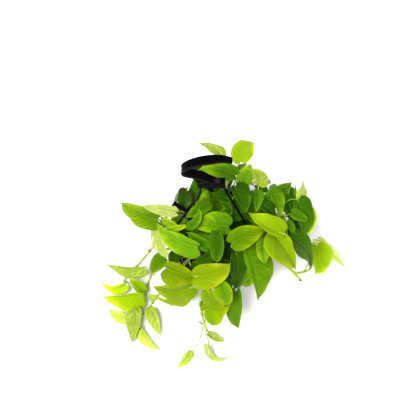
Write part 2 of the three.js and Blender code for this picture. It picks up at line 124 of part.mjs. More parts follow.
const STEM_LEAVES = {
  stem_back: [
    { rib: [[12.2, 23.9, 188], [1.9, 27.1, 189.8], [-11.7, 31.1, 186.3], [-20.4, 33.5, 182]], side: [-0.289, -0.956, 0.045], half: [8.5, 10.2], stalk: [[5.8, 48.5, 139.7], [8.9, 48.4, 157.1], [18.4, 20.2, 177.7]], stalkR: 0.96 },
    { rib: [[-20.5, 34.8, 176], [-24.1, 40, 176.2], [-28.5, 46.5, 173.1], [-31.2, 50.6, 170]], side: [-0.82, -0.572, -0.033], half: [7.9, 7.9], stalk: [[8.7, 60.2, 151.8], [1.1, 57.4, 166], [-14.2, 28.3, 168.3]], stalkR: 0.75 },
    { rib: [[-8.9, 68.1, 130.8], [3.3, 73.1, 131.4], [16.5, 82.6, 125.8], [23.4, 90.8, 120.1]], side: [-0.533, 0.832, 0.151], half: [13.2, 11.4], stalk: [[4.4, 41.9, 130.8], [1.1, 48.5, 132.4], [-16, 63.7, 120.7]], stalkR: 1.01 },
    { rib: [[59.8, 72, 136], [65.9, 67.7, 138.2], [74.3, 61.9, 136.9], [80, 58.3, 134.5]], side: [0.54, 0.82, -0.189], half: [8.8, 7.7], stalk: [[13.2, 73.8, 158.8], [28.3, 78.1, 152.5], [48.7, 81.9, 125]], stalkR: 0.88 },
    { rib: [[-25.3, 33.4, 136.5], [-38.9, 29.3, 139.9], [-57.5, 24.9, 136.7], [-69.7, 22.3, 132]], side: [0.253, -0.958, -0.135], half: [16.6, 15.6], stalk: [[3.7, 38.4, 125.3], [-7.5, 40, 134], [-14.2, 38.2, 132.1]], stalkR: 1.04 },
    { rib: [[37.6, 40, 128.7], [30.6, 42.5, 133.3], [20.3, 46.9, 134.2], [13.7, 51.1, 132.4]], side: [-0.313, -0.828, 0.465], half: [9.5, 8.2], stalk: [[3.1, 35.7, 119.9], [14.5, 42.8, 127.1], [41.9, 34.1, 113.4]], stalkR: 0.9 },
    { rib: [[28.9, 81.3, 176], [32.4, 85, 177.5], [38.1, 88.9, 177.1], [42.3, 91.1, 176]], side: [-0.5, 0.69, -0.524], half: [7.9, 7.9], stalk: [[6.3, 50.9, 142.6], [18.9, 52.3, 153.1], [24.7, 69.5, 168.4]], stalkR: 0.72 },
  ],
  stem_left: [
    { rib: [[-50, 33.6, 197.4], [-55, 27.1, 187.9], [-55.4, 20.9, 172.6], [-52.4, 17.1, 162.1]], side: [0.793, -0.571, 0.213], half: [16.9, 11.7], stalk: [[-56.3, 2.6, 140.4], [-63.1, 11.8, 163.8], [-47.8, 61.9, 193.6]], stalkR: 1.0, lobe: 0.08 },
    { rib: [[-55.2, -1.4, 160.7], [-66.7, 6.5, 158.4], [-76.7, 21.1, 151.9], [-81.2, 32, 146.4]], side: [-0.179, -0.501, -0.846], half: [11.4, 11.4], stalk: [[-45.6, 5.7, 128.2], [-41.9, 3.8, 142.1], [-46.4, -1.7, 159.4]], stalkR: 1.04 },
    { rib: [[-51.3, 18, 160], [-56.2, 22, 163], [-61.5, 29.5, 164.2], [-64.4, 35.1, 164]], side: [-0.684, -0.382, -0.621], half: [7.6, 9.3], stalk: [[-59.6, 1.3, 143.4], [-59.8, 6.4, 153.6], [-46.1, 10.4, 154]], stalkR: 0.81 },
    { rib: [[-60.7, -5.2, 121.4], [-59.1, 2.6, 121], [-58.3, 12, 116.5], [-58.4, 17.9, 112.2]], side: [-0.989, 0.127, 0.081], half: [8.5, 7.9], stalk: [[-62.6, -0.4, 145.6], [-70.5, -10.8, 144.1], [-66.6, -15, 117.6]], stalkR: 0.89 },
  ],
  stem_front_left: [
    { rib: [[-77.5, -22.6, 180], [-68.4, -24.3, 185.2], [-55.6, -21.4, 189.8], [-46.9, -17.8, 192]], side: [-0.388, 0.432, 0.814], half: [6.3, 6.3], stalk: [[-39.4, -39.8, 125.7], [-52.9, -34.4, 149.4], [-85.7, -13.3, 168.6]], stalkR: 0.95 },
    { rib: [[-67.9, -49.5, 157.8], [-68.7, -57.6, 157.2], [-72.4, -66.5, 152.7], [-76.5, -71.5, 148.9]], side: [0.933, -0.267, -0.239], half: [8.9, 8.7], stalk: [[-53.9, -58.8, 135.3], [-55.5, -60, 142.1], [-67.1, -40.1, 152.8]], stalkR: 0.89 },
    { rib: [[-27.3, -60.7, 144], [-35, -64.9, 142.5], [-44.9, -67.2, 136.8], [-51.5, -67, 132]], side: [0.376, -0.878, -0.296], half: [8, 7.4], stalk: [[-42.4, -43.9, 128.7], [-37.8, -48.1, 138.3], [-21.4, -57.8, 141.2]], stalkR: 0.91 },
  ],
  stem_front: [
    { rib: [[-4.2, -49.3, 159.8], [-15.5, -56.3, 158.3], [-31.8, -59.9, 152.1], [-42.8, -60.3, 146.7]], side: [0.401, -0.478, -0.782], half: [10.9, 10.9], stalk: [[0, -60.9, 127.2], [6.2, -60.9, 139.2], [-2.7, -38, 152.1]], stalkR: 1.02 },
    { rib: [[11.7, -72.9, 165.1], [3.9, -69, 166.1], [-3.6, -60.4, 164.9], [-7, -53.1, 163.8]], side: [-0.57, -0.576, -0.585], half: [8.7, 7.8], stalk: [[0, -72.1, 130.1], [3.2, -82.6, 137.8], [18.6, -80.8, 165.6]], stalkR: 0.91 },
    { rib: [[6.6, -104.7, 159.8], [6.2, -96, 158.8], [8.3, -86.5, 153.1], [11.9, -81.5, 148]], side: [-0.974, 0.226, 0.01], half: [9.6, 9.4], stalk: [[0, -84, 126.6], [5.2, -94.6, 142.5], [4.6, -120.9, 150.5]], stalkR: 0.9 },
  ],
  stem_center: [
    { rib: [[-32, 18.5, 176], [-28.4, 37, 180.9], [-31.7, 59.9, 176], [-40.7, 73.4, 168]], side: [-0.964, -0.181, -0.197], half: [18.9, 9.3], stalk: [[-14.6, -7.5, 156.4], [-22.1, 3.2, 167], [-32.3, 11.1, 173.1]], stalkR: 1.12 },
    { rib: [[-64.7, -17.2, 174.8], [-76, -11.5, 172.4], [-86.5, 0.2, 166], [-91.8, 9.3, 160.8]], side: [-0.099, -0.542, -0.835], half: [10.6, 10.6], stalk: [[-15.3, -9.8, 162.3], [-36.3, -14, 169.7], [-44.1, -13.2, 171.3]], stalkR: 1.0 },
    { rib: [[-17.5, 6.6, 210.6], [-29.7, 1.6, 208.2], [-43.2, -4.2, 198.4], [-51, -7.8, 189.8]], side: [0.367, -0.929, 0.048], half: [13.1, 8.2], stalk: [[-16, -12, 168], [-16.8, -8.7, 182.4], [-9, 9.4, 205.1]], stalkR: 1.01 },
    { rib: [[14.2, 0.8, 206], [9, 4, 207.4], [2.2, 8.4, 206.1], [-2.3, 11.3, 204]], side: [-0.537, -0.843, -0.033], half: [5.4, 5.4], stalk: [[-12.1, -2.8, 141.5], [-4.1, 1.4, 172.4], [22.6, -4.9, 187.1]], stalkR: 0.75 },
    { rib: [[-23.3, -35.5, 188.2], [-23.1, -43.1, 183.5], [-22.5, -50, 173.7], [-21.9, -53.3, 166.2]], side: [0.995, -0.041, 0.096], half: [8, 8], stalk: [[-12.1, -2.8, 141.5], [-16.9, -23.3, 158.2], [-19.1, -13.9, 180.8]], stalkR: 0.81 },
    { rib: [[-18.9, -51.5, 186], [-29.3, -45.3, 190], [-42.5, -35, 188.9], [-50.9, -27.5, 186]], side: [-0.575, -0.763, -0.295], half: [9.4, 7.9], stalk: [[-15.8, -11.2, 166], [-13.7, -29.6, 176.4], [-10.5, -55.3, 182.5]], stalkR: 1.0 },
    { rib: [[1.5, -20.6, 149.2], [7.5, -34.6, 149.2], [18.4, -49.5, 142], [27.5, -57.2, 134.9]], side: [0.831, 0.537, 0.142], half: [15.6, 14.6], stalk: [[-14.3, -6.8, 154.3], [-11.6, -11.4, 159.9], [0.3, -14.3, 148.6]], stalkR: 1.05 },
    { rib: [[-19.3, 7.8, 120.4], [-27.8, 3, 126.7], [-40.3, -5.5, 129.2], [-48.4, -12.3, 128.8]], side: [0.546, -0.832, -0.097], half: [12.8, 12.7], stalk: [[-7.5, 1.4, 115.3], [-12.6, 3.2, 119], [-17.4, 9.1, 115.6]], stalkR: 0.97 },
    { rib: [[-26.1, 64.7, 184.8], [-35.8, 74.3, 186.2], [-50.2, 83.7, 181.4], [-60.7, 88, 176.2]], side: [-0.581, -0.788, 0.205], half: [12.1, 11.8], stalk: [[-12.6, -3.6, 144.3], [-22, 21.7, 163.4], [-20.1, 51.9, 161.2]], stalkR: 1.02 },
  ],
  stem_right: [
    { rib: [[126.2, 18.5, 173], [144.5, 12.8, 160.1], [145.8, -1.6, 145.4], [131.1, -17.5, 140.2]], side: [0.811, 0.45, -0.373], half: [7.6, 16.6], stalk: [[45.1, 8.9, 114.7], [81.8, -3.2, 115.5], [80.6, 32, 170.6]], stalkR: 1.07 },
    { rib: [[60.4, 13.4, 192.8], [68.9, 7.7, 191], [78.1, 0.7, 183.5], [83.4, -3.6, 176.8]], side: [0.532, 0.837, -0.129], half: [10.5, 10.5], stalk: [[56.1, 10, 130.5], [49.1, 11.3, 160.8], [50.8, 18.9, 186.1]], stalkR: 0.95 },
    { rib: [[54, 28, 206.3], [53.9, 17.8, 205.4], [52.4, 5.8, 199.2], [51, -1.4, 193.4]], side: [0.972, 0.004, -0.233], half: [8.4, 8.4], stalk: [[50.2, 9.8, 122.9], [38.9, 9.8, 161.5], [42.8, 43.2, 197.3]], stalkR: 0.94 },
    { rib: [[116.3, 14.6, 172.8], [128, 32.9, 167.4], [132.9, 59.6, 155.5], [132.3, 77.8, 146.2]], side: [-0.274, 0.431, 0.86], half: [25.4, 16.2], stalk: [[82.1, 5.6, 152.6], [92.4, 12.6, 159.7], [103.8, 7.6, 169.6]], stalkR: 1.2 },
    { rib: [[94.7, -17.7, 198], [99.5, -22.5, 196.3], [104.4, -28, 190.8], [107, -31.4, 186]], side: [0.66, 0.733, -0.162], half: [6.9, 6.9], stalk: [[76.1, 7.1, 149.1], [67.2, -6.3, 167.7], [84.3, -6.2, 182.5]], stalkR: 0.76 },
    { rib: [[108.6, 10, 172], [110.9, 23.9, 176.9], [113.7, 43.4, 175.6], [115.4, 56.4, 172]], side: [-0.988, 0.144, 0.055], half: [3.8, 5.3], stalk: [[78.1, 6.6, 150.3], [83.6, 21.4, 153.1], [110.1, -2, 160.4]], stalkR: 1.05 },
    { rib: [[41.9, -7.7, 138.7], [29.9, 0.1, 139.6], [16, 11.4, 133.4], [8.1, 19.5, 126.8]], side: [-0.617, -0.786, -0.045], half: [15.9, 15.1], stalk: [[52.1, 9.9, 125.5], [49.2, 6.5, 135.1], [50.7, -12.8, 132.8]], stalkR: 1.04 },
    { rib: [[54.6, 50.9, 154.9], [55, 39, 155.3], [51.1, 24.8, 150.7], [45.7, 16.4, 146.2]], side: [0.947, -0.175, -0.27], half: [12.6, 10.7], stalk: [[60.5, 9.6, 135.4], [62.7, 19.1, 149], [53.5, 60.2, 143.5]], stalkR: 0.98 },
    { rib: [[115.5, -18.5, 147], [113.4, -4.2, 150], [113.1, 14.6, 146], [115, 26.8, 140.6]], side: [-0.997, 0, 0.08], half: [13.3, 12.7], stalk: [[74.1, 7.6, 147.6], [83.9, -1.5, 156.3], [115.6, -40.8, 139.3]], stalkR: 1.04 },
    { rib: [[41.5, 12.3, 167.1], [43.7, 4.8, 171.7], [47.2, -6.4, 172.9], [50.4, -14, 171.5]], side: [0.888, 0.235, -0.396], half: [9.8, 9.2], stalk: [[48.5, 9.5, 120.2], [42.4, 12.1, 133.9], [39.6, 15, 158.1]], stalkR: 0.91 },
    { rib: [[109.1, 40, 148.1], [112.3, 52.3, 146.9], [114, 66.7, 138.8], [113.3, 75.6, 131.3]], side: [-0.994, 0.098, -0.038], half: [11.3, 10], stalk: [[65.2, 9.1, 140], [75.6, 22.7, 141.8], [110.3, 21.1, 137.4]], stalkR: 1.0 },
  ],
  stem_front_right: [
    { rib: [[103.1, -2.7, 196.2], [111.9, -5.4, 195.4], [122.2, -8.8, 189.6], [128.3, -10.9, 184.3]], side: [0.289, 0.956, -0.049], half: [9.4, 9.4], stalk: [[58.3, -41.8, 150.6], [81.8, -34.6, 161.2], [72.7, -5.3, 175.3]], stalkR: 0.82 },
    { rib: [[39.6, -62.2, 131.8], [40.5, -72.7, 125.8], [43.1, -81.6, 112.9], [46.7, -85, 102.9]], side: [0.939, 0.342, -0.04], half: [12.6, 19], stalk: [[41.4, -31, 128.4], [42.5, -40.9, 133], [39.5, -55, 132.4]], stalkR: 1.01 },
    { rib: [[22.5, -51.5, 157.1], [25.8, -68.7, 148.1], [23.9, -86.8, 129.4], [20.4, -96.9, 114.9]], side: [0.793, 0.395, -0.465], half: [15.9, 15.9], stalk: [[50.6, -37.1, 142.1], [44.8, -40.9, 155.7], [19.1, -35, 155.6]], stalkR: 1.17 },
    { rib: [[56.7, -13.3, 136], [65.2, -16.6, 139.1], [77.3, -15.4, 140.7], [85.2, -11.5, 141.5]], side: [-0.143, 0.88, 0.453], half: [8.9, 8.7], stalk: [[44.4, -33.1, 133.2], [47.4, -27.8, 141.7], [46.6, -12, 132.3]], stalkR: 0.92 },
  ],
  vine_left_a: [
    { rib: [[-127.3, -35.1, 46.4], [-151.4, -36.4, 42.6], [-180.3, -27.6, 30.8], [-197.9, -18.1, 20.6]], side: [0.166, -0.551, -0.818], half: [17.8, 3.1], stalk: [[-154, -28.5, 3.2], [-154.2, -36.3, 16.2], [-116.7, -25.6, 43.5]], stalkR: 1.29, full: [1.3, 1] },
    { rib: [[-159.5, -58, 25.4], [-172.7, -64.9, 13.4], [-190.7, -59, 5.6], [-203.5, -46.5, 8.5]], side: [0.171, -0.549, -0.818], half: [11.6, 8.4], stalk: [[-164.4, -47.6, 9], [-160.9, -48.9, 14.5], [-156.5, -52.5, 25.7]], stalkR: 1.08, full: [0.9, 0.7] },
    { rib: [[-126.6, -67.3, 21.4], [-135.5, -60.1, 24], [-146.7, -50, 21.3], [-153.8, -43.1, 17.4]], side: [-0.645, -0.75, -0.143], half: [9.2, 9.2], stalk: [[-163.8, -44.2, 7.1], [-152.9, -51.2, 14.7], [-120.1, -65.7, 9.3]], stalkR: 0.94 },
  ],
  vine_left_b: [
    { rib: [[-126.4, -78, 34.6], [-149.4, -82.3, 37.8], [-179.4, -80.5, 30.9], [-198.3, -77.8, 20.8]], side: [0.157, -0.541, -0.827], half: [29.2, 7.6], stalk: [[-124.6, -70.6, 3.2], [-125.7, -77.1, 12.4], [-125, -72.2, 32.3]], stalkR: 1.22, lobe: 0.05 },
  ],
  vine_left_c: [
    { rib: [[-153.8, -110.1, 12.3], [-165, -106.3, 14.4], [-178.8, -99.4, 11], [-187.6, -94.9, 6.2]], side: [-0.252, -0.785, -0.566], half: [15.5, 5], stalk: [[-149.2, -109.2, 3.2], [-150.7, -110, 5.5], [-151.7, -110.8, 10.9]], stalkR: 1.01, full: [0.8, 1] },
    { rib: [[-138.1, -99.6, 23.8], [-141.7, -117, 24.3], [-142.9, -139.1, 16.3], [-142.8, -153, 7.8]], side: [0.871, -0.21, 0.443], half: [15.2, 14.2], stalk: [[-145.1, -110.3, 3.2], [-148.2, -113, 7.8], [-146.8, -113.2, 19.3]], stalkR: 0.98, full: [0.8, 1] },
    { rib: [[-128.4, -129.4, 16], [-121.6, -143.3, 16.3], [-107.7, -156.8, 10.9], [-95.9, -162.9, 6]], side: [0.717, 0.58, 0.387], half: [2, 13.5], stalk: [[-136.9, -108.2, 3.2], [-137.1, -118.2, 10.2], [-130.3, -121.8, 11.1]], stalkR: 1.04 },
    { rib: [[-112.9, -97.4, 20], [-105.8, -111.3, 21.6], [-98.9, -129.5, 15.2], [-96.4, -141.6, 8]], side: [0.941, 0.32, 0.112], half: [5.9, 14.5], stalk: [[-119.6, -92.1, 3.2], [-116.9, -95.9, 9.6], [-115.3, -94.4, 18.1]], stalkR: 1.07, full: [1.6, 0.95] },
    { rib: [[-109.3, -82.4, 20], [-112.8, -79.6, 22.9], [-117.7, -74.9, 24.1], [-121.1, -71.5, 24]], side: [-0.697, -0.7, -0.152], half: [4.9, 4.9], stalk: [[-114.1, -81.9, 3.2], [-114.5, -84.2, 10.4], [-107, -83.2, 15.5]], stalkR: 0.72 },
  ],
  vine_front: [
    { rib: [[-18.1, -161.1, 32], [-13.6, -178.3, 9.1], [4.1, -181.8, 4.9], [23.5, -172, 23]], side: [0.289, 0.388, 0.875], half: [2.5, 10.7], stalk: [[-20.6, -131.2, 3.2], [-27.7, -136.7, 13.6], [-16.7, -145.1, 35.6]], stalkR: 1.06, lobe: 0.18, full: [1.5, 2.2] },
    { rib: [[-18, -138.1, 16], [-11.4, -146.3, 17.1], [0, -150.7, 14.6], [9.4, -149, 12]], side: [0.386, 0.909, 0.159], half: [7.4, 3.5], stalk: [[-23.5, -125.3, 3.2], [-21.7, -127.9, 7.2], [-19.3, -134.5, 12.7]], stalkR: 0.8, full: [0.6, 0.8] },
    { rib: [[-47.4, -167.8, 9], [-52.8, -176.8, 10.3], [-62.6, -186.3, 7.7], [-69.9, -191.7, 4.5]], side: [0.612, -0.454, -0.647], half: [8.7, 8.7], stalk: [[-26.7, -114.2, 3.2], [-28.9, -134.5, 6], [-33.7, -154.7, 8]], stalkR: 0.95 },
    { rib: [[-24.7, -99.6, 24], [-26.3, -95, 26.4], [-28.4, -88, 26.8], [-29.8, -83.2, 26]], side: [-0.956, -0.283, -0.075], half: [7.5, 6.6], stalk: [[-26.6, -100.9, 17.1], [-26.4, -99.3, 18.6], [-24.2, -100.6, 22.5]], stalkR: 0.73 },
  ],
  vine_right: [
    { rib: [[165.9, 3.3, 46], [172.8, -12.4, 39.6], [172.5, -27.3, 23.4], [164.8, -34.4, 10]], side: [0.994, -0.087, 0.06], half: [19.4, 13.5], stalk: [[156.6, -23.8, 3.3], [161.9, -15.6, 18.1], [152.8, 2.4, 41.7]], stalkR: 1.01, full: [0.65, 0.9] },
    { rib: [[173.6, 20.8, 30], [187.9, 5, 32.9], [206.8, -13.1, 23.7], [220.5, -21.5, 12]], side: [0.523, 0.751, -0.402], half: [10.4, 19.8], stalk: [[160, -21.3, 3.4], [164.9, -9.7, 17.8], [164.3, 20.1, 20]], stalkR: 1.22, full: [1.1, 0.75] },
    { rib: [[171.3, 14.2, 30], [166.4, 13.3, 30.4], [160.1, 12.5, 28.3], [156.2, 12, 26]], side: [0.16, -0.984, -0.073], half: [5.3, 5.3], stalk: [[148.5, -27.5, 3.2], [149.6, -15.7, 15.7], [176.5, 4.8, 22.1]], stalkR: 0.72 },
  ],
};

// ---- helpers ----

const V = (p) => new THREE.Vector3(p[0], p[1], p[2]);
const rad = THREE.MathUtils.degToRad;

// Piecewise cubic through (at, values) with finite-difference slopes.
function cubicTable(at, values, x) {
  const n = at.length;
  let i = 0;
  while (i < n - 2 && x > at[i + 1]) i++;
  const slope = (k) => {
    if (k === 0) return (values[1] - values[0]) / (at[1] - at[0]);
    if (k === n - 1) return (values[n - 1] - values[n - 2]) / (at[n - 1] - at[n - 2]);
    return (values[k + 1] - values[k - 1]) / (at[k + 1] - at[k - 1]);
  };
  const h = at[i + 1] - at[i];
  const t = (x - at[i]) / h;
  return (2 * t ** 3 - 3 * t ** 2 + 1) * values[i] + (t ** 3 - 2 * t ** 2 + t) * h * slope(i)
    + (-2 * t ** 3 + 3 * t ** 2) * values[i + 1] + (t ** 3 - t ** 2) * h * slope(i + 1);
}

const outline = (u) => Math.max(cubicTable(OUTLINE_AT, OUTLINE, u), 0);

function geometryOf(positions, triangles) {
  const g = new THREE.BufferGeometry();
  g.setAttribute('position', new THREE.Float32BufferAttribute(positions.flat(), 3));
  g.setIndex(triangles.flat());
  return g;
}

// A closed geometry as a manifold-3d solid, and back.
function solid(geometry) {
  const g = geometry.index ? geometry.clone() : geometry.clone();
  for (const name of Object.keys(g.attributes)) if (name !== 'position') g.deleteAttribute(name);
  const merged = mergeVertices(g, 1e-4);
  return new wasm.Manifold(new wasm.Mesh({
    numProp: 3,
    vertProperties: Float32Array.from(merged.attributes.position.array),
    triVerts: Uint32Array.from(merged.index.array),
  }));
}

function geometryFrom(manifold) {
  const m = manifold.getMesh();
  const g = new THREE.BufferGeometry();
  g.setAttribute('position', new THREE.Float32BufferAttribute(Array.from(m.vertProperties), 3));
  g.setIndex(Array.from(m.triVerts));
  g.computeVertexNormals();
  return g;
}

// Rings of four corners swept along points: a and b are the half sizes along each
// ring's side and normal directions.
function sweptBox(points, sides, normals, a, b, positions, triangles, closeEnd) {
  const base = positions.length;
  for (let k = 0; k < points.length; k++) {
    for (const [s, n] of [[1, 1], [-1, 1], [-1, -1], [1, -1]]) {
      positions.push(points[k].clone().addScaledVector(sides[k], s * a[k]).addScaledVector(normals[k], n * b[k]).toArray());
    }
  }
  for (let k = 0; k < points.length - 1; k++) {
    for (let j = 0; j < 4; j++) {
      const p = base + 4 * k + j;
      const q = base + 4 * k + (j + 1) % 4;
      triangles.push([p, q, q + 4], [p, q + 4, p + 4]);
    }
  }
  triangles.push([base, base + 3, base + 2], [base, base + 2, base + 1]);
  const e = base + 4 * (points.length - 1);
  if (closeEnd) triangles.push([e, e + 1, e + 2], [e, e + 2, e + 3]);
  return e;
}

function stemCurve(stem) {
  return new THREE.CatmullRomCurve3(stem.path.map(V), false, 'catmullrom', 0.5);
}

function roundTube(curve, radius, steps, corners) {
  const section = new THREE.Shape();
  for (let i = 0; i < corners; i++) {
    const a = (i / corners) * 2 * Math.PI;
    if (i === 0) section.moveTo(radius, 0);
    else section.lineTo(radius * Math.cos(a), radius * Math.sin(a));
  }
  section.closePath();
  return new THREE.ExtrudeGeometry(section, { steps, extrudePath: curve, bevelEnabled: false });
}

// One leaf: a four-sided stalk that runs into a folded heart-shaped blade, as one
// closed mesh. When a stem is given, the stalk starts clear of it.
function leafGeometry(leaf, clearOf) {
  const P = leaf.rib.map(V);
  const rib = new THREE.CubicBezierCurve3(...P);
  const stalk = new THREE.CubicBezierCurve3(...leaf.stalk.map(V), P[0]);
  const length = P[0].distanceTo(P[3]);
  const lobe = leaf.lobe ?? LOBE;
  const shoulders = leaf.full ?? [1, 1];
  const side0 = V(leaf.side);
  const frame = (u) => {
    const T = rib.getTangent(u);
    const S = side0.clone().addScaledVector(T, -side0.dot(T)).normalize();
    return { M: rib.getPoint(u), T, S, N: new THREE.Vector3().crossVectors(T, S) };
  };
  const big = length > 45;
  const rows = big ? [0, 0.12, 0.38, 0.66, 0.87, 1] : [0, 0.14, 0.42, 0.75, 1];
  const across = big ? [0.5, 1] : [1];
  const positions = [];
  const triangles = [];

  // stalk
  let t0 = 0;
  if (clearOf) {
    const axis = clearOf.curve.getSpacedPoints(200);
    const need = clearOf.radius + leaf.stalkR + GAP + 0.15;
    while (t0 < 0.8 && Math.min(...axis.map((q) => q.distanceTo(stalk.getPoint(t0)))) < need) t0 += 0.004;
  }
  const run = stalk.getLength() * (1 - t0);
  const count = Math.max(4, Math.min(7, Math.ceil(run / 13)));
  const f0 = frame(0);
  const pts = [], sides = [], normals = [], half = [];
  for (let k = count; k >= 0; k--) {
    const t = t0 + (1 - t0) * (k / count);
    if (k === count) { pts.unshift(f0.M); sides.unshift(f0.S); normals.unshift(f0.N); }
    else {
      const T = stalk.getTangent(t);
      const S = sides[0].clone();
      S.addScaledVector(T, -S.dot(T)).normalize();
      pts.unshift(stalk.getPoint(t)); sides.unshift(S); normals.unshift(new THREE.Vector3().crossVectors(T, S));
    }
    half.unshift(leaf.stalkR * 0.86);
  }
  const ring = sweptBox(pts, sides, normals, half, half, positions, triangles, false);

  // blade: inner columns have a top and an underside, the edge is sharp
  const c0 = half[0];
  const point = (f, u, v, y, lift) => {
    const W = v > 0 ? leaf.half[0] : leaf.half[1];
    const h = Math.abs(y) * Math.tan(rad(FOLD)) - CAMBER * y * y / W;
    const g = Math.abs(v);
    const back = lobe * length * (1.7 * g - 0.95 * g * g) * (1 - u) ** 3;
    return f.M.clone().addScaledVector(f.S, y).addScaledVector(f.N, h + lift).addScaledVector(f.T, -back).toArray();
  };
  const columns = [...across.slice().reverse().map((v) => -v), 'r', 'l', ...across];
  const top = [], low = [];
  rows.forEach((u, i) => {
    if (u === 1) return;
    const f = frame(u);
    const w = outline(u);
    const a = [], b = [];
    const narrow = Math.min(leaf.half[0], leaf.half[1]) * w;
    const c = Math.min(c0 * (1 - 0.5 * u), 0.3 * narrow);
    const lift = BLADE_HALF + (c0 - BLADE_HALF) * Math.max(0, 1 - u / 0.35) ** 2;
    for (const v of columns) {
      if (v === 'l' || v === 'r') {
        if (i === 0) {
          a.push(ring + (v === 'l' ? 0 : 1));
          b.push(ring + (v === 'l' ? 3 : 2));
        } else {
          const y = v === 'l' ? c : -c;
          a.push(positions.push(point(f, u, 0, y, lift)) - 1);
          b.push(positions.push(point(f, u, 0, y, -lift)) - 1);
        }
        continue;
      }
      const y = v * leaf.half[v > 0 ? 0 : 1] * w ** (u > 0.22 ? shoulders[v > 0 ? 0 : 1] : 1);
      if (Math.abs(v) === 1 || i === 0) {
        const id = positions.push(point(f, u, v, y, 0)) - 1;
        a.push(id); b.push(id);
      } else {
        a.push(positions.push(point(f, u, v, y, BLADE_HALF * 0.9)) - 1);
        b.push(positions.push(point(f, u, v, y, -BLADE_HALF * 0.9)) - 1);
      }
    }
    top.push(a); low.push(b);
  });
  const quad = (p, q, r, s) => {
    if (p !== q && q !== r && p !== r) triangles.push([p, q, r]);
    if (p !== r && r !== s && p !== s) triangles.push([p, r, s]);
  };
  const m = columns.length;
  for (let i = 0; i < top.length - 1; i++) {
    for (let j = 0; j < m - 1; j++) {
      quad(top[i][j], top[i + 1][j], top[i + 1][j + 1], top[i][j + 1]);
      quad(low[i][j], low[i][j + 1], low[i + 1][j + 1], low[i + 1][j]);
    }
  }
  const tip = positions.push(P[3].toArray()) - 1;
  const last = top.length - 1;
  for (let j = 0; j < m - 1; j++) {
    triangles.push([top[last][j], tip, top[last][j + 1]]);
    triangles.push([low[last][j], low[last][j + 1], tip]);
  }
  // the two small triangles beside the stalk, where the blade's base row closes
  const r = across.length, l = r + 1;
  triangles.push([top[0][l], top[0][l + 1], low[0][l]]);
  triangles.push([top[0][r], low[0][r], top[0][r - 1]]);
  return geometryOf(positions, triangles);
}

function boxGeometry(x, y, z) {
  const g = new THREE.BoxGeometry(x[1] - x[0], y[1] - y[0], z[1] - z[0]);
  g.translate((x[0] + x[1]) / 2, (y[0] + y[1]) / 2, (z[0] + z[1]) / 2);
  return g;
}

// ---- materials ----

const standard = (color, roughness, metalness = 0) => new THREE.MeshStandardMaterial({ color, roughness, metalness });
const leafColor = { top: 0xa8c62a, left: 0x9fc41c, middle: 0xb4d323, right: 0x8cb81c, front: 0xa2c81e, rear: 0x86b01e };
const stemMaterial = () => standard(0xb3bf5a, 0.5);
const plasticMaterial = () => standard(0x1b1b1d, 0.45);

// ---- assembly ----

const object = new THREE.Group();
const holder = new THREE.Group();
const plant = new THREE.Group();
object.add(holder, plant);

function add(group, name, geometry, material) {
  geometry.computeVertexNormals();
  const mesh = new THREE.Mesh(geometry, material);
  mesh.name = name;
  group.add(mesh);
  return mesh;
}

// A lathed profile in (radius, height).
function lathe(profile, segments) {
  const g = new THREE.LatheGeometry(profile.map(([r, z]) => new THREE.Vector2(r, z)), segments);
  g.rotateX(Math.PI / 2);
  return g;
}

// Pot: tapered wall, flat base, rolled lip, drain holes.
{
  const slope = (POT_TOP_R - POT_BASE_R) / POT_LIP_Z;
  const profile = [
    [0, 0], [POT_BASE_R - 2, 0], [POT_BASE_R, 1.6],
    [POT_TOP_R, POT_LIP_Z], [POT_LIP_R - 0.6, POT_LIP_Z], [POT_LIP_R, POT_LIP_Z + 1.2],
    [POT_LIP_R, POT_HEIGHT - 2.4], [POT_LIP_R - 1.4, POT_HEIGHT], [POT_TOP_R - 0.6, POT_HEIGHT],
    [POT_TOP_R - POT_WALL, POT_HEIGHT - 2], [POT_TOP_R - POT_WALL, POT_LIP_Z],
    [POT_BASE_R - POT_WALL + slope * 3, 3], [0, 3],
  ];
  let pot = solid(lathe(profile, 40));
  for (let k = 0; k < DRAIN_COUNT; k++) {
    const a = rad(45 + (360 / DRAIN_COUNT) * k);
    const hole = new THREE.CylinderGeometry(DRAIN_R, DRAIN_R, 8, 12);
    hole.rotateX(Math.PI / 2);
    hole.translate(DRAIN_RING * Math.cos(a), DRAIN_RING * Math.sin(a), 1.5);
    pot = pot.subtract(solid(hole));
  }
  add(holder, 'pot', geometryFrom(pot), plasticMaterial());
}

// Soil fills the pot to just under its lip.
{
  const slope = (POT_TOP_R - POT_BASE_R) / POT_LIP_Z;
  const inner = (z) => POT_BASE_R - POT_WALL + slope * z - GAP - 0.15;
  const profile = [
    [0, 3 + GAP], [inner(3) - 0.6, 3 + GAP], [inner(8), 8], [inner(100), 100],
    [inner(100) - 3, SOIL_TOP - 1.2], [40, SOIL_TOP], [0, SOIL_TOP],
  ];
  add(holder, 'soil', lathe(profile, 32), standard(0x3a2b1f, 0.95));
}

